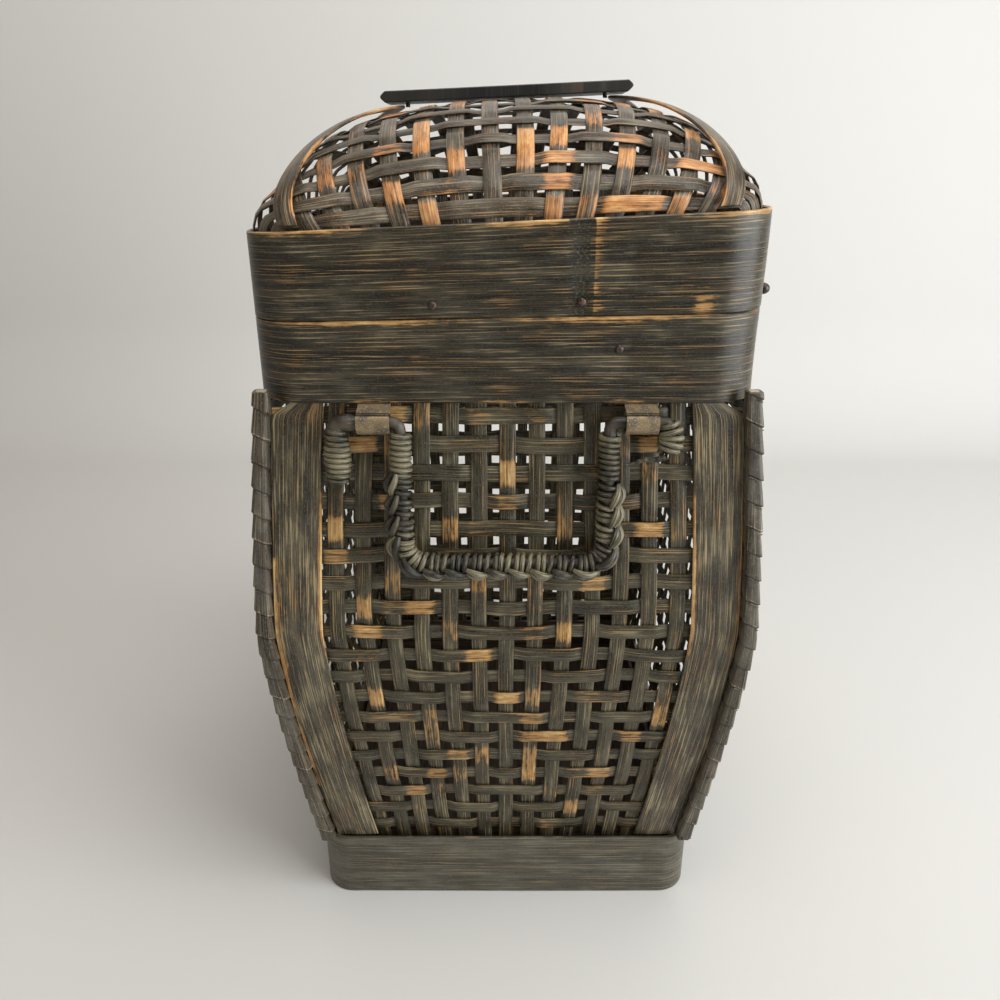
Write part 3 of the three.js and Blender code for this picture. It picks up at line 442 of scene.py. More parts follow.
def between(values, place):
    """Values at whole places, carried to places between with a smooth change half way."""
    low = np.clip(np.floor(place).astype(int), 0, values.shape[-1] - 2)
    share = np.clip((place - low - 0.27) / 0.46, 0, 1)
    share = share * share * (3 - 2 * share)
    strips = np.arange(len(values))[:, None]
    return values[strips, low] * (1 - share) + values[strips, low + 1] * share


def wander(strips, place, reach):
    """Each hand-laid strip drifts a little from its line: two slow sines with its own phases."""
    phase = chance.uniform(0, 2 * np.pi, (4, strips, 1))
    return reach * (np.sin(place * 1.9 + phase[0]) + 0.6 * np.sin(place * 4.3 + phase[1]))


ribbon_across = np.array([-1, -0.88, 0, 0.88, 1, 0.9, 0, -0.9])
ribbon_height = np.array([0.1, 0.8, 1, 0.8, 0.1, -1, -1, -1])
ribbon_top = np.array([0.5, 0.9, 1, 0.9, 0.5, 0, 0, 0])
ribbon_edge = np.array([0.3, 1, 0, 1, 0.3, 0, 0, 0])


def ribbon_off(height):
    """The heights round a strip whose middle is at a height."""
    return height[..., None] + ribbon_height * STRIP_THICKNESS / 2


def patches(signs, place, power):
    """Wear by chance, as a share to a power, wherever a strip passes over another."""
    return between(chance.uniform(0, 1, signs.shape) ** power * (signs > 0), place)


def ribbons(name, rings, along, body, material, worn, edge):
    """A set of flat strips, with their own wear on top and an even wear along the upper edges."""
    worn = worn[..., None] * ribbon_top + edge * ribbon_edge
    across = ribbon_across * STRIP / 2
    return piece(name, rings, along, across, body, material, worn=worn)


dark_weave = bamboo(
    "Dark woven bamboo", Stain=(0.012, 0.01, 0.006), Brown=(0.06, 0.049, 0.027),
    Streak=(0.26, 0.2, 0.1), Wear=(0.42, 0.22, 0.07), Pale=(0.68, 0.48, 0.22), Dust=(0.23, 0.22, 0.155),
    Streaks=0.42, Dusting=0.55,
)


def wall_stakes(face):
    """Upright strips: stake place across, height off the wall opposite to the weavers that cross."""
    count = FACES[face][4]
    reach = (count - 1) // 2
    stake = np.arange(-reach, reach + 1)[:, None]
    row = np.linspace(-0.9, ROWS + 0.85, 20 * 8)
    signs = -over(np.arange(ROWS), stake)
    place = np.broadcast_to(row - 0.5, (count, len(row)))
    height = STAKE_SWAY * between(signs, place)
    middle = stake_place(face, stake, row) + wander(count, row / 6, 0.35)
    turn = wander(count, row / 9, 0.12)
    u = middle[..., None] + ribbon_across * STRIP / 2
    off = ribbon_off(height) + turn[..., None] * ribbon_across
    rings = on_wall(face, u, row[None, :, None], off)
    worn = patches(signs, place, 2.2)
    along = row * ROW_PITCH + chance.uniform(0, GRAIN_LENGTH, (count, 1))
    return ribbons(f"{face}_stake_strips", rings, along, "basket", dark_weave, worn, 0.22)


def wall_weavers(face):
    """Level strips: one to a row, over two stakes and under two, out to the corner edge."""
    count = FACES[face][4]
    reach = (count - 1) // 2
    row = np.arange(ROWS)[:, None]
    signs = over(row, np.arange(-reach - 2, reach + 3))
    share = np.linspace(-1, 1, count * 9)
    middle = row + 0.5 + wander(ROWS, share * 3, 0.035)
    u = share * (half_across(face, middle) + FACES[face][5])
    place = u / stake_place(face, 1, middle) + reach + 2
    off = ribbon_off(WEAVER_SWAY * between(signs, place))
    rows = middle[..., None] - ribbon_across * STRIP / 2 / ROW_PITCH
    rings = on_wall(face, u[..., None], rows, off)
    worn = patches(signs, place, 2.2)
    along = u + chance.uniform(0, GRAIN_LENGTH, (ROWS, 1))
    return ribbons(f"{face}_weaver_strips", rings, along, "basket", dark_weave, worn, 0.22)


for face in FACES:
    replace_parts(wall_stakes(face), f"{face}_stakes")
    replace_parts(wall_weavers(face), f"{face}_weavers")

# Corner straps
# A flat strap of thick bamboo down each side of each corner, over the ends of the weavers. Its outer
# top corner is cut off, its edges are worn light, and it is held under the two bands.

STRAP_WIDTH = 23.7
STRAP_THICKNESS = 1.6
STRAP_PAST = 1.5
STRAP_CUT, STRAP_CUT_DOWN = 9, 6
STRAP_GAP = 0.3
WEAVE_HALF = 1.5
SIDES = {-1: "left", 1: "right"}

strap_bamboo = bamboo(
    "Strap bamboo", gloss=0.5, Stain=(0.016, 0.013, 0.008), Brown=(0.075, 0.058, 0.031),
    Streak=(0.36, 0.27, 0.13), Wear=(0.44, 0.22, 0.07), Pale=(0.72, 0.5, 0.22), Dust=(0.27, 0.26, 0.2),
    Streaks=0.5, Dusting=0.5,
)


def bell(place, width, power=2):
    """1 at 0, and less on both sides by exp(-(place / width)^power)."""
    return np.exp(-((place / width) ** power))


def strap(face, side):
    """A strap: a flat rounded section carried down the wall, its outer edge cut back at the top."""
    row = np.linspace(0.03, ROWS - 0.03, 96)[:, None]
    down = (row[:, 0] - row[0]) * ROW_PITCH
    width = STRAP_WIDTH - np.maximum(STRAP_CUT * (1 - down[:, None] / STRAP_CUT_DOWN), 0)
    share = np.array([0, 0.02, 0.1, 0.35, 0.65, 0.9, 0.98, 1, 0.98, 0.65, 0.35, 0.02])
    level = np.array([-0.2, 0.8, 1, 1.12, 1.12, 1, 0.8, -0.2, -1, -1, -1, -1])
    u = side * (half_across(face, row) + STRAP_PAST - STRAP_WIDTH + share * width)
    u = u + 0.25 * np.sin(row / 2.3 + side)
    off = WEAVE_HALF + STRAP_GAP + STRAP_THICKNESS / 2 * (1 + level)
    off = off + 0.25 * np.sin(row / 1.7) * (level > 0)
    first, last = (2.2, 9.5) if side > 0 else (5.5, 16)
    inner = bell(share * STRAP_WIDTH, 1.6) * bell(row - 6, 3.4, 4)
    rim = bell((1 - share) * STRAP_WIDTH, 2.2) * (row > first) * (row < last)
    middle = 0.32 * bell(row - 7.5, 3.2, 4) * (1 - 0.5 * np.abs(share - 0.5))
    made = piece(
        f"{face}_strap_{SIDES[side]}", on_wall(face, u, row, off)[None],
        down + chance.uniform(0, GRAIN_LENGTH), share * STRAP_WIDTH, "basket", strap_bamboo,
        worn=(0.1 + 0.95 * inner + (0.95 if side < 0 else 0.5) * rim + middle)[None],
    )
    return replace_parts(made, f"{face}_strap_{'b' if side > 0 else 'a'}")


for face in FACES:
    for side in SIDES:
        strap(face, side)

# Corner edges
# A square bamboo rod up each corner, wrapped in a thin flat strip whose turns lap like shingles, so
# that slanting seams show. The rod stands a little above the wrapping.

EDGE_HALF = 3.6
ROD_HALF = 2.3
WRAP_PITCH = 12.5

edge_bamboo = bamboo(
    "Corner binding", Stain=(0.02, 0.016, 0.011), Brown=(0.075, 0.06, 0.04),
    Streak=(0.24, 0.19, 0.11), Wear=(0.34, 0.27, 0.17), Pale=(0.66, 0.58, 0.42), Dust=(0.3, 0.28, 0.23),
    Streaks=0.3, Dusting=0.6,
)


def squarish(angle, half, power=5):
    """A rounded square: half / (|cos|^p + |sin|^p)^(1/p) from its middle."""
    reach = half / (np.abs(np.cos(angle)) ** power + np.abs(np.sin(angle)) ** power) ** (1 / power)
    return reach * np.cos(angle), reach * np.sin(angle)


def corner_edge(name, sign_x, sign_y, half, top, foot, steps, sides, wrapped=False):
    """A bar up a corner. Wrapped, each turn is a saw-tooth of height along the bar and round it."""
    row = np.linspace(top, foot, steps)
    angle = np.linspace(0, 2 * np.pi, sides, endpoint=False) + np.pi / sides
    out, z = wall_at(row[:, None])[:2]
    middle = out + WEAVE_HALF + STRAP_GAP + EDGE_HALF
    run = row * ROW_PITCH
    size = np.full((steps, sides), half)
    worn = bell(run - run[0], 2.5)[:, None]
    if wrapped:
        turn = run[:, None] / WRAP_PITCH - sign_x * sign_y * angle / (2 * np.pi)
        tooth = turn % 1
        seam = np.clip((tooth - 0.9) / 0.05, 0, 1) * np.clip((1 - tooth) / 0.02, 0, 1)
        size = size - 0.25 + 0.85 * tooth * (1 - seam) - 0.3 * seam
        # The raised edge of each lapped turn takes the worn colours: partly real wear and partly a painted
        # highlight along the edge.
        ridge_wear_and_highlight = bell(tooth - 0.86, 0.04) * (0.6 + 0.4 * np.sin(turn * 1.7))
        worn = np.where(seam > 0.3, -0.35, 0.1 + 0.9 * ridge_wear_and_highlight)
    x, y = squarish(angle, size)
    rings = [sign_x * (middle + x), sign_y * (middle + END_STAND + y), z + 0 * x]
    return piece(
        name, np.stack(rings, axis=-1)[None], run + chance.uniform(0, GRAIN_LENGTH),
        np.linspace(0, 8 * half, sides + 1), "basket", edge_bamboo, worn=worn[None],
    )


for corner, sign_x, sign_y in (
    ("near_left", -1, -1), ("near_right", 1, -1), ("far_left", -1, 1), ("far_right", 1, 1)
):
    rod = corner_edge(f"{corner}_rod", sign_x, sign_y, ROD_HALF, top=-0.42, foot=18.95, steps=60, sides=12)
    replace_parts(rod, f"{corner}_corner_rod")
    wrap = corner_edge(
        f"{corner}_wrap", sign_x, sign_y, EDGE_HALF, top=-0.4, foot=18.93, steps=720, sides=32, wrapped=True
    )
    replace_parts(wrap, f"{corner}_corner_binding")

# Rim band
# A smooth bent band of nearly black bamboo round the mouth, nailed to the collar inside it. Long
# fine tan streaks run along it and its upper edge is rubbed bright under the lid.

RIM_HALF = (115, 135)
RIM_CORNER = 25
BAND_THICKNESS = 1.8

band_bamboo = bamboo(
    "Band bamboo", Stain=(0.009, 0.0075, 0.005), Brown=(0.048, 0.038, 0.022),
    Streak=(0.25, 0.185, 0.09), Wear=(0.42, 0.23, 0.08), Pale=(0.7, 0.48, 0.2), Dust=(0.22, 0.215, 0.175),
    Streaks=0.36, Dusting=0.3,
)


def rim_shape(path, height):
    """Slow waves round the rim band."""
    return unevenness(path, height, (0.3, 29, 0), (0.25, 33, 2), (16, 0.3))


def rim_wear(path, height):
    """Wear along the top edge, and in patches along the low one."""
    top = bell(height - (RIM_HIGH - RIM_LOW), 1.9) * (0.75 + 0.25 * np.sin(path[:, :1] / 17 - 1))
    low = 0.4 * bell(height, 1.2) * (1 + np.sin(path[:, :1] / 9 + 2))
    return 0.12 + top + low


rim_band = band(
    "rim_strip", RIM_HALF, RIM_CORNER, RIM_LOW, RIM_HIGH, BAND_THICKNESS, rim_shape,
    "basket", band_bamboo, rim_wear,
)
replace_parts(rim_band, "rim_band")

# Tacks
# Small domed iron tacks stand a little proud of the bands they hold. The one on the lid's side has a
# ball head.


def unit(vectors):
    """Vectors brought to the length 1."""
    return vectors / np.linalg.norm(vectors, axis=-1)[..., None]


def turned(name, profile, origin, axis, body, material, sides=20):
    """A solid turned round an axis: each [radius, height] of the profile swept round a circle."""
    radius, height = np.array(profile, float).T
    angle = np.linspace(0, 2 * np.pi, sides, endpoint=False)
    axis = np.array(axis, float)
    first = unit(np.cross(axis, [0.3, 0.5, 0.8]))
    second = np.cross(axis, first)
    circle = first * np.cos(angle)[:, None] + second * np.sin(angle)[:, None]
    rings = np.array(origin) + radius[:, None, None] * circle + height[:, None, None] * axis
    around = np.linspace(0, 2 * np.pi * radius.max(), sides + 1)
    run = length_run(np.array(profile))
    return piece(name, rings[None], run, around, body, material)


def iron(name):
    """Dark iron with rusty patches on the object's own coordinates."""
    material, tree = new_material(name)
    spots = speckle(tree, put(tree, "TexCoord", {}).outputs["Object"], 900.0, 3.0)
    rust = band_of(tree, spots, 0.45, 0.65)
    sockets = {
        "Base Color": blend(tree, rust, (0.06, 0.055, 0.05, 1), (0.11, 0.05, 0.025, 1)),
        "Roughness": scaled(tree, rust, 0.4, 0.32),
        "Metallic": scaled(tree, rust, -0.9, 0.9),
    }
    return dress(material, sockets, spots, 0.0002, 0.5)


rusty_iron = iron("Rusty iron")
TACK = [(0.05, -2), (0.9, -2), (0.9, 0), (1.9, 0), (1.75, 0.45), (1.3, 0.8), (0.6, 0.98), (0.02, 1.02)]
BALL = [
    (0.05, -2), (0.9, -2), (0.9, 0.2), (1.7, 0.5), (2.45, 1.3), (2.6, 2.1), (2.3, 3.2), (1.4, 4.3),
    (0.02, 4.7),
]
TACK_FACE = 0.2
RIM_TACK_Z, LID_TACK_Z = 324.5, 344.8


def tack(name, node, profile, place, out, body):
    """A tack or pin at a place, moved up or down with the lean of the upper edges."""
    place = lean(np.array([place]))[0]
    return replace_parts(turned(name, profile, place, out, body, rusty_iron), node)


front, flank = -RIM_HALF[1] - TACK_FACE, RIM_HALF[0] + TACK_FACE
tack("rim_tack_head", "rim_tack", TACK, [48.9, front, RIM_TACK_Z], (0, -1, 0), "basket")
tack("lid_tack_left_head", "lid_tack_left", TACK, [-32.5, front, LID_TACK_Z], (0, -1, 0), "lid")
tack("lid_tack_right_head", "lid_tack_right", TACK, [31.7, front, LID_TACK_Z], (0, -1, 0), "lid")
tack("lid_side_ball", "lid_side_tack", BALL, [flank, -108, LID_TACK_Z], (1, 0, 0), "lid")

# Handle brackets
# A sheet of aged brass folded round each end of the handle's rod. Its tab slants in under the rim
# band and is nipped behind it.

PIVOT_Z = 293
PIVOT_OUT = 114.57
BRACKET_ACROSS = 60
BRACKET_WIDTH = 15
BRACKET_BORE = 4.0
BRACKET_SHEET = 1.4
BRACKET_TAB = 9
BRACKET_BEND = (108.4, RIM_LOW - 0.3)


def aged_metal(name):
    """Aged brass: tan with dark stain patches and a dull shine, on the object's coordinates."""
    material, tree = new_material(name)
    place = put(tree, "TexCoord", {}).outputs["Object"]
    stain = band_of(tree, speckle(tree, place, 160.0, 5.0), 0.4, 0.62)
    fine = speckle(tree, place, 1400.0, 2.0)
    colour = blend(tree, stain, (0.25, 0.18, 0.1, 1), (0.1, 0.075, 0.05, 1))
    sockets = {
        "Base Color": blend(tree, band_of(tree, fine, 0.5, 0.75), colour, (0.36, 0.32, 0.2, 1)),
        "Roughness": scaled(tree, stain, 0.25, 0.42),
        "Metallic": scaled(tree, stain, -0.3, 0.4),
    }
    return dress(material, sockets, fine, 0.0002, 0.5)


aged_brass = aged_metal("Aged brass")


def bracket(face, side):
    """A folded sheet: a line round the rod and up its tab, given a thickness and carried across."""
    bend = np.array(BRACKET_BEND)
    centre = np.array([PIVOT_OUT, PIVOT_Z])
    radius = BRACKET_BORE + BRACKET_SHEET / 2
    away = bend - centre
    touch = np.arctan2(away[1], away[0]) - np.arccos(radius / np.linalg.norm(away))
    turn = np.linspace(touch + 1.88 * np.pi, touch, 48)
    ring = centre + radius * np.stack([np.cos(turn), np.sin(turn)], axis=1)
    top = bend + [-BRACKET_SHEET / 2, 0]
    slope = np.linspace(ring[-1], top, 8)[1:]
    line = np.concatenate([ring, slope, np.linspace(top, top + [0, BRACKET_TAB], 6)[1:]])
    tangent = unit(np.gradient(line, axis=0))
    normal = np.stack([-tangent[:, 1], tangent[:, 0]], axis=1)
    share = np.array([-1, -0.97, 0, 0.97, 1, 0.97, 0, -0.97])
    level = np.array([0, 1, 1, 1, 0, -1, -1, -1])
    place = line[:, None] + normal[:, None] * level[:, None] * BRACKET_SHEET / 2
    u = side * BRACKET_ACROSS + share * BRACKET_WIDTH / 2
    rings = lean(facing(face, u, place[..., 0] + FACES[face][2], place[..., 1]))[None]
    name = f"{face}_{SIDES[side]}_bracket"
    made = piece(
        f"{name}_sheet", rings, length_run(line), share * BRACKET_WIDTH / 2,
        "basket", aged_brass,
    )
    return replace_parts(made, name)


for face in ("near", "far"):
    for side in SIDES:
        bracket(face, side)

# Drop handles
# A rod bent into a square-cornered drop handle, bound with waxed cord: closely at the tops of its
# legs, then in bundles of three turns with a knot outside each. Its ends turn down and are bound too.

BAIL_DROP = 68
LEFT_LEG, RIGHT_LEG = -48.5, 46
LEFT_END, RIGHT_END = -77, 73
LEFT_FALL, RIGHT_FALL = 28.5, 14
LEG_TOP = 5
GRIP_BEND = 12
CORE_RADIUS = 2.8
SWOLLEN_RADIUS = 4.1
SWOLLEN_ACROSS, SWOLLEN_DOWN = -68.5, 8
TAIL_START, TAIL_REACH = 71, 18
BAIL_TILT = np.arctan2(4.958, 67)
CORD_RADIUS = 1.2
CORD_TURN = 2.45
TOP_TURNS = 8
BUNDLE = [2.35, 2.35, 4.7]
BUNDLES = 17
END_TURN = 2.4
KNOT_LENGTH = 10.5


def read_at(values, run, place):
    """Points or slopes known along a run, read at other places on it."""
    return np.stack([np.interp(place, run, column) for column in values.T], axis=-1)


def bent_line(stops, step):
    """A line through stops [across, down, corner radius]: straights, and parabolic corners between."""
    stops = np.array(stops, float)
    at, radius = stops[:, :2], stops[:, 2]
    parts, last = [], at[0]
    for k in range(1, len(at) - 1):
        before = at[k] + unit(at[k - 1] - at[k]) * radius[k]
        after = at[k] + unit(at[k + 1] - at[k]) * radius[k]
        parts.append(np.linspace(last, before, 40)[:-1])
        t = np.linspace(0, 1, 24)[:-1, None]
        parts.append((1 - t) ** 2 * before + 2 * t * (1 - t) * at[k] + t**2 * after)
        last = after
    parts.append(np.linspace(last, at[-1], 40))
    line = np.concatenate(parts)
    run = length_run(line)
    even = np.linspace(0, run[-1], int(run[-1] / step) + 1)
    return read_at(line, run, even), even


def in_bail(face, flat, off):
    """Points of a handle's flat drawing, hung from its pivot line and tilted to clear the wall."""
    away = PIVOT_OUT + FACES[face][2] + flat[..., 1] * np.sin(BAIL_TILT) + off * np.cos(BAIL_TILT)
    z = PIVOT_Z - flat[..., 1] * np.cos(BAIL_TILT) + off * np.sin(BAIL_TILT)
    return facing(face, flat[..., 0], away, z)


def tube(route, radius, sides):
    """A round section carried along routes of points: (strips, stations, 3) to rings."""
    tangent = unit(np.gradient(route, axis=-2))
    first = np.cross(tangent, [0.0, 1.0, 0.0])
    first /= np.maximum(np.linalg.norm(first, axis=-1), 1e-6)[..., None]
    second = np.cross(tangent, first)
    angle = np.linspace(0, 2 * np.pi, sides, endpoint=False)[:, None]
    circle = first[..., None, :] * np.cos(angle) + second[..., None, :] * np.sin(angle)
    radius = np.broadcast_to(radius, route.shape[:-1])
    return route[..., None, :] + radius[..., None, None] * circle


def cord_material(name, dark, light, pale):
    """Waxed cord: fibres along its length, clouded dark and light, and rubbed pale where it is worn."""
    material, tree = new_material(name)
    grain = put(tree, "UVMap", {}, uv_map="Grain").outputs["UV"]
    worn = put(tree, "Attribute", {}, attribute_name="worn").outputs["Fac"]
    fibre = fibres(tree, grain, 0.005, 0.0005, 3.0)
    cloud = speckle(tree, put(tree, "TexCoord", {}).outputs["Object"], 150.0, 4.0)
    colour = blend(tree, band_of(tree, cloud, 0.36, 0.64), dark, light)
    rub = scaled(tree, worn, 0.28, scaled(tree, cloud, 0.3, fibre))
    rubbed = calc(tree, "MULTIPLY", band_of(tree, rub, 0.7, 0.98), 0.8)
    rough = scaled(tree, fibre, 0.3, 0.18)
    sockets = {"Base Color": blend(tree, rubbed, colour, pale), "Roughness": rough}
    return dress(material, sockets, fibre, 0.0004, 0.9)


waxed_cord = cord_material(
    "Waxed cord", (0.015, 0.013, 0.008, 1), (0.055, 0.047, 0.03, 1), (0.25, 0.22, 0.135, 1)
)
dark_rod = cord_material(
    "Wrapped rod", (0.022, 0.017, 0.012, 1), (0.07, 0.055, 0.037, 1), (0.17, 0.135, 0.085, 1)
)
ROD_STOPS = [
    (LEFT_END, LEFT_FALL, 0), (LEFT_END, 0, 4), (LEFT_LEG, 0, 4), (LEFT_LEG, BAIL_DROP, GRIP_BEND),
    (RIGHT_LEG, BAIL_DROP, GRIP_BEND), (RIGHT_LEG, 0, 4), (RIGHT_END, 0, 4), (RIGHT_END, RIGHT_FALL, 0),
]
GRIP_STOPS = [(LEFT_LEG, LEG_TOP, 0), *ROD_STOPS[3:5], (RIGHT_LEG, LEG_TOP, 0)]
LEFT_STUB = [(LEFT_END, 3.5, 0), (LEFT_END, 8, 0.5), (LEFT_END, LEFT_FALL - 0.2, 0)]
RIGHT_STUB = [(RIGHT_END - 1.5, 0.3, 0), (RIGHT_END + 1, 6, 3), (RIGHT_END - 0.5, RIGHT_FALL, 0)]


def on_line(line, run, place, beside):
    """A place along a line, moved sideways: outward on a handle's legs and down on its grip."""
    slope = unit(read_at(np.gradient(line, run, axis=0), run, place))
    side = np.stack([-slope[..., 1], slope[..., 0]], axis=-1)
    return read_at(line, run, place) + side * beside[..., None]


def cords(name, routes, radius, body, sides=8):
    """Round cords along routes of points, as one piece, paler on some stretches than on others."""
    step = np.linalg.norm(np.diff(routes, axis=1), axis=-1)
    length = np.concatenate([np.zeros((len(routes), 1)), np.cumsum(step, axis=1)], axis=1)
    around = np.linspace(0, 2 * np.pi * CORD_RADIUS, sides + 1)
    pale = 0.5 + 0.5 * np.sin(length / 67 + chance.uniform(0, 6, (len(routes), 1)))
    rings = tube(routes, radius, sides)
    return piece(name, rings, length, around, body, waxed_cord, worn=pale[..., None])


def winding(face, line, run, advance, reach, name, node, body):
    """Cord wound on a line: turn by turn it moves on by advance, at reach from the line."""
    ends = np.concatenate([[0], np.cumsum(advance)])
    turn = np.linspace(0, len(advance), len(advance) * 16 + 1)
    share = np.interp(turn, np.arange(len(ends)), ends) / ends[-1]
    reach = reach(share) + 0.12 * np.sin(turn * 2.3)
    angle = turn * 2 * np.pi
    flat = on_line(line, run, share * run[-1], reach * np.cos(angle))
    route = in_bail(face, flat, reach * np.sin(angle))
    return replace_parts(cords(name, route[None], CORD_RADIUS, body), node)


def knots(face, line, run, places, body):
    """The knots: a chain of links outside the binding, each in front where the next begins.

    A link is two cords side by side that run along the line, in front of it and again behind it.
    Half way it stands furthest out, by the sine of half a turn.
    """
    share = np.linspace(0, 1, 18)
    swell = np.sin(np.pi * share)
    count = len(places)
    place = places + chance.uniform(-0.3, 0.3, count)
    bulge = chance.uniform(0.85, 1.15, count)
    front, beside = np.meshgrid([1, -1], [-0.2, 0.2], indexing="ij")
    front, beside = np.repeat(front.ravel(), count)[:, None], np.repeat(beside.ravel(), count)[:, None]
    place, bulge = np.tile(place, 4)[:, None], np.tile(bulge, 4)[:, None]
    out = CORE_RADIUS + CORD_RADIUS + bulge * (0.9 + 1.9 * swell)
    angle = front * (1.05 - 0.75 * share + beside * (1 + swell))
    flat = on_line(line, run, place + KNOT_LENGTH * (share - 0.5), out * np.cos(angle))
    cords(f"{face}_knots", in_bail(face, flat, out * np.sin(angle)), 1.0 + 0.55 * swell, body)


def even_reach(share):
    """A cord on the grip lies just off the rod all the way: radius + radius + 0.1."""
    return CORE_RADIUS + CORD_RADIUS + 0.1 + 0 * share


def end_reach(share):
    """A wrap on a turned-down end swells in its middle, by the sine of half a turn."""
    return CORE_RADIUS + 0.7 + 1.6 * np.sin(np.pi * np.clip(share, 0.02, 0.98)) ** 0.6


advance = [CORD_TURN] * TOP_TURNS + BUNDLE * BUNDLES + [CORD_TURN] * TOP_TURNS

for face in ("near", "far"):
    body = f"{face}_handle"
    line, run = bent_line(ROD_STOPS, 1.0)
    swollen = (line[:, 0] < SWOLLEN_ACROSS) & (line[:, 1] < SWOLLEN_DOWN)
    radius = np.where(swollen, SWOLLEN_RADIUS, CORE_RADIUS)
    radius = np.convolve(np.pad(radius, 2, mode="edge"), np.full(5, 0.2), mode="valid")
    rings = tube(in_bail(face, line, 0.0)[None], radius, 16)
    rod = piece(f"{face}_rod", rings, run, np.linspace(0, 17, 17), body, dark_rod)
    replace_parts(rod, f"{face}_bail_core")
    line, run = bent_line(GRIP_STOPS, 0.8)
    winding(face, line, run, advance, even_reach, f"{face}_winding", f"{face}_bail_winding", body)
    ends = np.concatenate([[0], np.cumsum(advance)]) / np.sum(advance) * run[-1]
    middles = (ends[TOP_TURNS:-TOP_TURNS:3][:-1] + ends[TOP_TURNS + 2 : -TOP_TURNS : 3]) / 2
    knots(face, line, run, middles, body)
    for stops, label in ((LEFT_STUB, "left"), (RIGHT_STUB, "right")):
        line, run = bent_line(stops, 0.8)
        winding(
            face, line, run, [END_TURN] * int(run[-1] / END_TURN), end_reach,
            f"{face}_{label}_stub_wrap", f"{face}_{label}_end_wrap", body,
        )
    share = np.linspace(0, 1, 40)
    down = RIGHT_FALL + 1 + 4 * share + 0.5 * np.sin(share * 9)
    tail = np.stack([TAIL_START - TAIL_REACH * share, down], axis=1)
    thick = 1.5 - 0.6 * share + 0.15 * np.sin(share * 40)
    cords(f"{face}_loose_tail", in_bail(face, tail, 3.2 - 1.2 * share)[None], thick, body)

# Lid band
# A second bent band fits over the collar and carries the lid. Its two ends meet in a shallow lap on
# the near end, held by a tack, and its upper edge is rubbed light.

LAP_X = 31.5
LAP_HALF = 5.2
LAP_DEPTH = 0.7


def lid_shape(path, height):
    """Slow waves round the lid band, and its lap set back at the front."""
    lap = (path[:, 1:] < -134) & (np.abs(path[:, :1] - LAP_X) < LAP_HALF)
    return unevenness(path, height, (0.3, 25, 2), (0.25, 30, 0), (17, 0)) - LAP_DEPTH * lap


def lid_wear_and_highlight(path, height):
    """Wear along the top edge and on the fibres beside the lap, and a painted highlight in the worn colours
    at the front right corner.

    The lap itself is scuffed grey, which a wear under 0 stands for.
    """
    near = path[:, 1:] < -120
    x = path[:, :1]
    top = bell(height - (LID_HIGH - LID_LOW), 1.2) * (0.7 + 0.3 * np.sin(x / 15 + 1))
    past = x - LAP_X - LAP_HALF
    beside = 0.62 * near * (past > 0) * bell(past, 5)
    # A painted highlight: the worn colours laid low on the front right corner, where the light falls
    # brightest.
    corner = 0.75 * near * bell(x - 84, 9) * bell(height, 15)
    lap = near * (np.abs(x - LAP_X) < LAP_HALF)
    return np.where(lap, -1.0, 0.1 + top + beside + corner)


lid_band = band(
    "lid_strip", RIM_HALF, RIM_CORNER, LID_LOW, LID_HIGH, BAND_THICKNESS, lid_shape,
    "lid", band_bamboo, lid_wear_and_highlight,
)
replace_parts(lid_band, "lid_band")

# Woven dome of the lid
# Fourteen strips along the lid and seventeen across it, interlaced two over and two under into a
# dome whose rows are spaced evenly by the angle of its arch. Their ends are tucked in the lid band.

SLOT_HALF_X = 111.492
SLOT_HALF_Y = 131.492
SLOT_CORNER = 21.492
SLOT_DEPTH = 9
DOME_FOOT = 378.6
DOME_HEIGHT = 53.0
DOME_END = 0.853
DOME_SPREAD = 0.1
LID_ROWS = 17
LID_STRIPS = 14
LID_WEAVE = 0.6
LID_PITCHES = 7.5


def dome_width(arch):
    """How wide the weave spreads, as a share of the slot: least at the ends, most at the crown."""
    return DOME_END + (1 + DOME_SPREAD - DOME_END) * arch


def dome(share, row):
    """The dome: an arch sin(pi row / 17) along it, and (1 - |across|^p)^(1/p) over it.

    p grows from 1.6 at the ends to 2.75 at the crown, and the crown is flattened, but swells
    a little between the bows.
    """
    angle = np.pi * np.clip(row, 0, LID_ROWS) / LID_ROWS
    arch = np.sin(angle)
    inner = np.clip(share, -1, 1)
    across = dome_width(arch) * inner - DOME_SPREAD * arch * inner**5
    power = 1.6 + 1.15 * arch
    top = np.maximum(1 - np.minimum(np.abs(across), 1) ** power, 0) ** (1 / power)
    corner = 1 - 0.06 * np.abs(across) ** 12
    rise = DOME_HEIGHT * arch * (1 - 0.05 * arch**6)
    crown = 1.5 * np.maximum(1 - (across / 0.46) ** 4, 0) * arch**8
    y = -SLOT_HALF_Y * np.cos(angle) * corner
    return np.stack(np.broadcast_arrays(SLOT_HALF_X * across, y, DOME_FOOT + rise * top + crown), axis=-1)


def dome_normal(share, row):
    """The way out of the dome: the cross product of its slopes across and along."""
    share, row = np.clip(share, -0.96, 0.96), np.clip(row, 0.3, LID_ROWS - 0.3)
    across = dome(share + 0.01, row) - dome(share - 0.01, row)
    along = dome(share, row + 0.1) - dome(share, row - 0.1)
    return unit(np.cross(across, along))


def on_dome(share, row, height, sink=0.0):
    """Points at a height off the dome, and sunk straight down past its foot."""
    points = dome(share, row) + dome_normal(share, row) * height[..., None]
    points[..., 2] -= sink
    return points


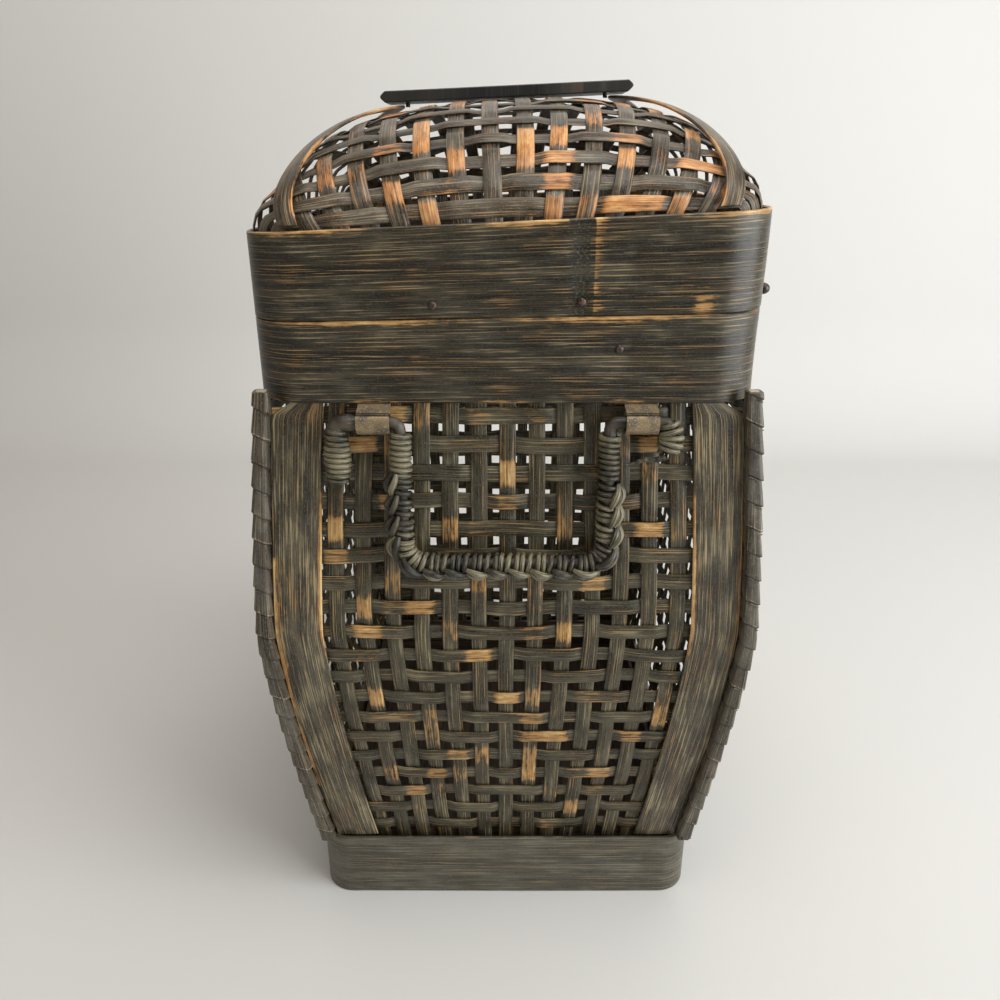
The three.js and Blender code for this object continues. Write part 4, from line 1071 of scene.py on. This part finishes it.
def tucked(share, row, height):
    """Points at a height off the dome that run on past its sides, down into the band's slot.

    Past a side the place goes out to the slot by 1 - (1 - t)^3 and down by t (0.35 + 0.65 t).
    """
    t = np.clip(10 * (np.abs(share) - 1), 0, 1)
    side = np.sign(share)
    edge = dome(side, row)
    round_corner = np.maximum(np.abs(edge[..., 1]) - SLOT_HALF_Y + SLOT_CORNER, 0)
    slot = SLOT_HALF_X - SLOT_CORNER + np.sqrt(np.maximum(SLOT_CORNER**2 - round_corner**2, 0))
    points = dome(share, row)
    points[..., 0] += side * (slot - np.abs(edge[..., 0])) * (1 - (1 - t) ** 3)
    points[..., 2] -= (edge[..., 2] - DOME_FOOT + SLOT_DEPTH) * t * (0.35 + 0.65 * t)
    way = dome_normal(share, row) * (1 - t)[..., None]
    way[..., 0] += side * t
    return points + unit(way) * height[..., None]


lid_weave = bamboo(
    "Lid woven bamboo", Stain=(0.016, 0.012, 0.008), Brown=(0.08, 0.056, 0.033),
    Streak=(0.3, 0.22, 0.13), Wear=(0.5, 0.2, 0.055), Pale=(0.75, 0.42, 0.16), Dust=(0.32, 0.31, 0.25),
    Streaks=0.45, Dusting=0.6,
)


def run_on(places, past):
    """Places with five more past each end, as far as past."""
    first, last = places[0], places[-1]
    before, after = np.linspace(first - past, first, 6), np.linspace(last, last + past, 6)
    return np.concatenate([before[:-1], places, after[1:]])


def lid_long():
    """Strips along the lid: their height off the dome is opposite to that of the rows across."""
    strip = (np.arange(LID_STRIPS) - 6)[:, None]
    row = run_on(np.linspace(0, LID_ROWS, 200), 1)
    sink = SLOT_DEPTH * (np.maximum(-row, 0) + np.maximum(row - LID_ROWS, 0))
    signs = -over(np.arange(LID_ROWS), strip)
    place = np.broadcast_to(np.clip(row, 0, LID_ROWS) - 0.5, (LID_STRIPS, len(row)))
    arch = np.sin(np.pi * np.clip(row, 0, LID_ROWS) / LID_ROWS)
    half = STRIP / 2 / (SLOT_HALF_X * dome_width(arch))
    height = LID_WEAVE * between(signs, place) * np.clip(arch * 6, 0, 1)
    middle = (strip - 0.5) / LID_PITCHES + wander(LID_STRIPS, row / 6, 0.003)
    share = middle[..., None] + half[:, None] * ribbon_across
    rings = on_dome(share, row[None, :, None], ribbon_off(height), sink[:, None])
    worn = 1.1 * patches(signs, place, 1.6)
    along = length_run(dome(0.2, row)) + chance.uniform(0, GRAIN_LENGTH, (LID_STRIPS, 1))
    return ribbons("lid_strips_along", lean(rings), along, "lid", lid_weave, worn, 0.25)


def lid_across():
    """Rows across the lid, two strips over and two under, one to each row of the arch."""
    row = np.arange(LID_ROWS)[:, None]
    share = run_on(np.sin(np.linspace(-np.pi / 2, np.pi / 2, 150)), 0.1)
    signs = over(row, np.arange(-8, 10))
    place = np.broadcast_to(np.clip(share, -1, 1) * LID_PITCHES + 0.5 + 8, (LID_ROWS, len(share)))
    middle = row + 0.5 + wander(LID_ROWS, share * 3, 0.02)
    angle = np.pi * middle / LID_ROWS
    pace = np.hypot(SLOT_HALF_Y * np.sin(angle), DOME_HEIGHT * np.cos(angle))
    half = STRIP * LID_ROWS / (2 * np.pi * pace)
    rows = middle[..., None] - half[..., None] * ribbon_across
    rings = tucked(share[None, :, None], rows, ribbon_off(LID_WEAVE * between(signs, place)))
    worn = patches(signs, place, 2)
    along = length_run(dome(share, LID_ROWS / 2)) + chance.uniform(0, GRAIN_LENGTH, (LID_ROWS, 1))
    return ribbons("lid_strips_across", lean(rings), along, "lid", lid_weave, worn, 0.25)


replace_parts(lid_long(), "lid_long_strips")
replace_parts(lid_across(), "lid_cross_strips")

# Bows
# Two split strips, about 10 mm wide, arch over the weave and stiffen the lid. They start at the lid
# band's top near its corners and swing in to pass under the grip board. Their inner edges are
# rubbed orange.

BOW_HALF_SHARE = 0.044
BOW_WIDTH = 10
BOW_THICKNESS = 1.5
BOW_UNDER = 3.4
BOW_FOOT, BOW_CLOSING, BOW_POWER = 0.952, 0.502, 1.8

bow_bamboo = bamboo(
    "Bow bamboo", Stain=(0.022, 0.016, 0.01), Brown=(0.085, 0.06, 0.034),
    Streak=(0.3, 0.21, 0.11), Wear=(0.5, 0.23, 0.07), Pale=(0.7, 0.45, 0.2), Dust=(0.26, 0.25, 0.2),
    Streaks=0.5, Dusting=0.45,
)


def bow(side):
    """A bow: its place across is 0.952 - 0.502 (1 - |1 - 2 row / 17|)^1.8, with a flat section."""
    row = np.linspace(0.2, LID_ROWS - 0.2, 160)
    to_foot = np.sqrt((1 - 2 * row / LID_ROWS) ** 2 + 0.0016)
    centre = BOW_FOOT - BOW_CLOSING * (1 - np.minimum(to_foot, 1)) ** BOW_POWER
    across = np.array([-1, -0.93, -0.4, 0.4, 0.93, 1, 0.93, 0.4, -0.4, -0.93])
    level = np.array([0, 0.8, 1.1, 1.1, 0.8, 0, -1, -1, -1, -1])
    share = side * (centre[:, None] + BOW_HALF_SHARE * across)
    off = BOW_UNDER + BOW_THICKNESS / 2 * (1 + level)
    patch = 0.65 + 0.35 * np.sin(row * 2.1 + side)
    name = f"lid_bow_{SIDES[side]}"
    made = piece(
        f"{name}_strip", lean(on_dome(share, row[:, None], off)[None]),
        length_run(dome(centre, row)) + chance.uniform(0, GRAIN_LENGTH), across * BOW_WIDTH / 2,
        "lid", bow_bamboo,
        worn=(0.2 + 0.9 * bell(across + 1, 0.3) * patch[:, None])[None],
    )
    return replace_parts(made, name)


for side in SIDES:
    bow(side)

# Grip board
# A plain board of nearly black wood across the two bows, chamfered at its ends and pinned down
# through them with a nail at each end.

BOARD_HALF = 66.25
BOARD_DEPTH = 26
BOARD_THICKNESS = 5.5
BOARD_LOW = 432.013
PIN_X = 53

board_wood = bamboo(
    "Board wood", Stain=(0.012, 0.012, 0.012), Brown=(0.028, 0.027, 0.025),
    Streak=(0.07, 0.065, 0.055), Wear=(0.09, 0.065, 0.045), Dust=(0.16, 0.15, 0.13),
    Streaks=0.1, Dusting=0.2,
)


def grip_board():
    """The board: a rounded rectangle across its depth carried along X, drawn in at both ends."""
    end = np.array([2.5, 1.5, 0.4, 0])
    x = np.concatenate([end - BOARD_HALF, np.linspace(-61, 61, 40), BOARD_HALF - end])
    x.sort()
    tall = np.interp(BOARD_HALF - np.abs(x), end[::-1], [0.12, 0.35, 0.72, 1])
    deep = np.interp(BOARD_HALF - np.abs(x), [0, 0.4, 2.5], [0.96, 0.985, 1])
    y = np.array([-1, -0.97, -0.5, 0, 0.5, 0.97, 1, 1, 0.97, 0.5, 0, -0.5, -0.97, -1]) * BOARD_DEPTH / 2
    z = np.array([0.84, 1, 1, 1, 1, 1, 0.84, -0.84, -1, -1, -1, -1, -1, -0.84]) * BOARD_THICKNESS / 2
    rings = np.empty((1, len(x), len(y), 3))
    rings[0, ..., 0] = x[:, None]
    rings[0, ..., 1] = y * deep[:, None]
    rings[0, ..., 2] = BOARD_LOW + BOARD_THICKNESS / 2 + z * tall[:, None]
    worn = 0.35 * (np.abs(z) > 2) * (np.abs(y) > 12)
    return piece("grip_board_wood", lean(rings), x, y, "lid", board_wood, worn=worn)


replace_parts(grip_board(), "grip_board")
PIN = [(0.05, -7.6), (1.2, -7.6), (1.2, 0), (2.3, 0), (2.1, 0.4), (1.2, 0.75), (0.02, 0.85)]
for side, label in SIDES.items():
    place = [side * PIN_X, 0, BOARD_LOW + BOARD_THICKNESS + 0.1]
    tack(f"grip_pin_{label}_nail", f"grip_pin_{label}", PIN, place, (0, 0, 1), "lid")

# Studio
# A pale floor that sweeps up into a backdrop, soft light from above and both sides, and a camera at
# the photograph's height, distance and tilt.

FLOOR_REACH = 3.0
BACKDROP = 0.62
SWEEP = 0.18
FOCAL_PX, IMAGE_PX, SENSOR_MM = 840, 1000, 36
CAMERA_TILT = 22.3

across = np.linspace(-FLOOR_REACH, FLOOR_REACH, 3)
bend = np.linspace(0, np.pi / 2, 16)
rise = np.stack([BACKDROP + SWEEP * np.sin(bend), SWEEP * (1 - np.cos(bend))], axis=1)
profile = np.concatenate([[[-FLOOR_REACH, 0.0]], rise, [[BACKDROP + SWEEP, FLOOR_REACH]]])
sweep = np.empty((len(across), len(profile), 3))
sweep[..., 0] = across[:, None]
sweep[..., 1:] = profile
number = np.arange(len(across) * len(profile)).reshape(len(across), len(profile))
quads = np.stack([number[:-1, :-1], number[1:, :-1], number[1:, 1:], number[:-1, 1:]], axis=-1)
floor_mesh = bpy.data.meshes.new("studio_floor")
floor_mesh.from_pydata(sweep.reshape(-1, 3).tolist(), [], quads.reshape(-1, 4).tolist())
floor_mesh.shade_smooth()
pale_floor = new_material("Pale floor")[0]
floor_mesh.materials.append(dress(pale_floor, {"Base Color": (0.66, 0.65, 0.63, 1), "Roughness": 0.75}))
studio_floor = bpy.data.objects.new("studio_floor", floor_mesh)
bpy.context.scene.collection.objects.link(studio_floor)


def lamp(name, place, size, power, colour):
    """A square soft lamp that faces the middle of the basket."""
    light = bpy.data.lights.new(name, "AREA")
    light.size = size
    light.energy = power
    light.color = colour
    holder = bpy.data.objects.new(name, light)
    holder.location = place
    holder.rotation_mode = "QUATERNION"
    holder.rotation_quaternion = (Vector((0, 0, 0.2)) - Vector(place)).to_track_quat("-Z", "Y")
    bpy.context.scene.collection.objects.link(holder)


lamp("top_light", (0.2, -0.3, 1.6), 1.0, 13, (1, 0.97, 0.92))
lamp("left_light", (-1.5, -1.0, 0.9), 1.0, 3, (1, 0.86, 0.7))
lamp("right_light", (1.3, -0.65, 0.5), 1.3, 30, (0.95, 0.98, 1))
world = bpy.data.worlds.new("Soft room")
bpy.context.scene.world = world
world.use_nodes = True
world.node_tree.nodes["Background"].inputs["Color"].default_value = (0.88, 0.86, 0.82, 1)
world.node_tree.nodes["Background"].inputs["Strength"].default_value = 0.3

lens = bpy.data.cameras.new("photo_camera")
lens.sensor_width = SENSOR_MM
lens.lens = FOCAL_PX / IMAGE_PX * SENSOR_MM
camera = bpy.data.objects.new("photo_camera", lens)
camera.location = (-0.0034, -0.5, 0.4036)
camera.rotation_euler = (np.radians(90 - CAMERA_TILT), 0, 0)
bpy.context.scene.collection.objects.link(camera)
bpy.context.scene.camera = camera
bpy.context.scene.view_settings.view_transform = "Standard"
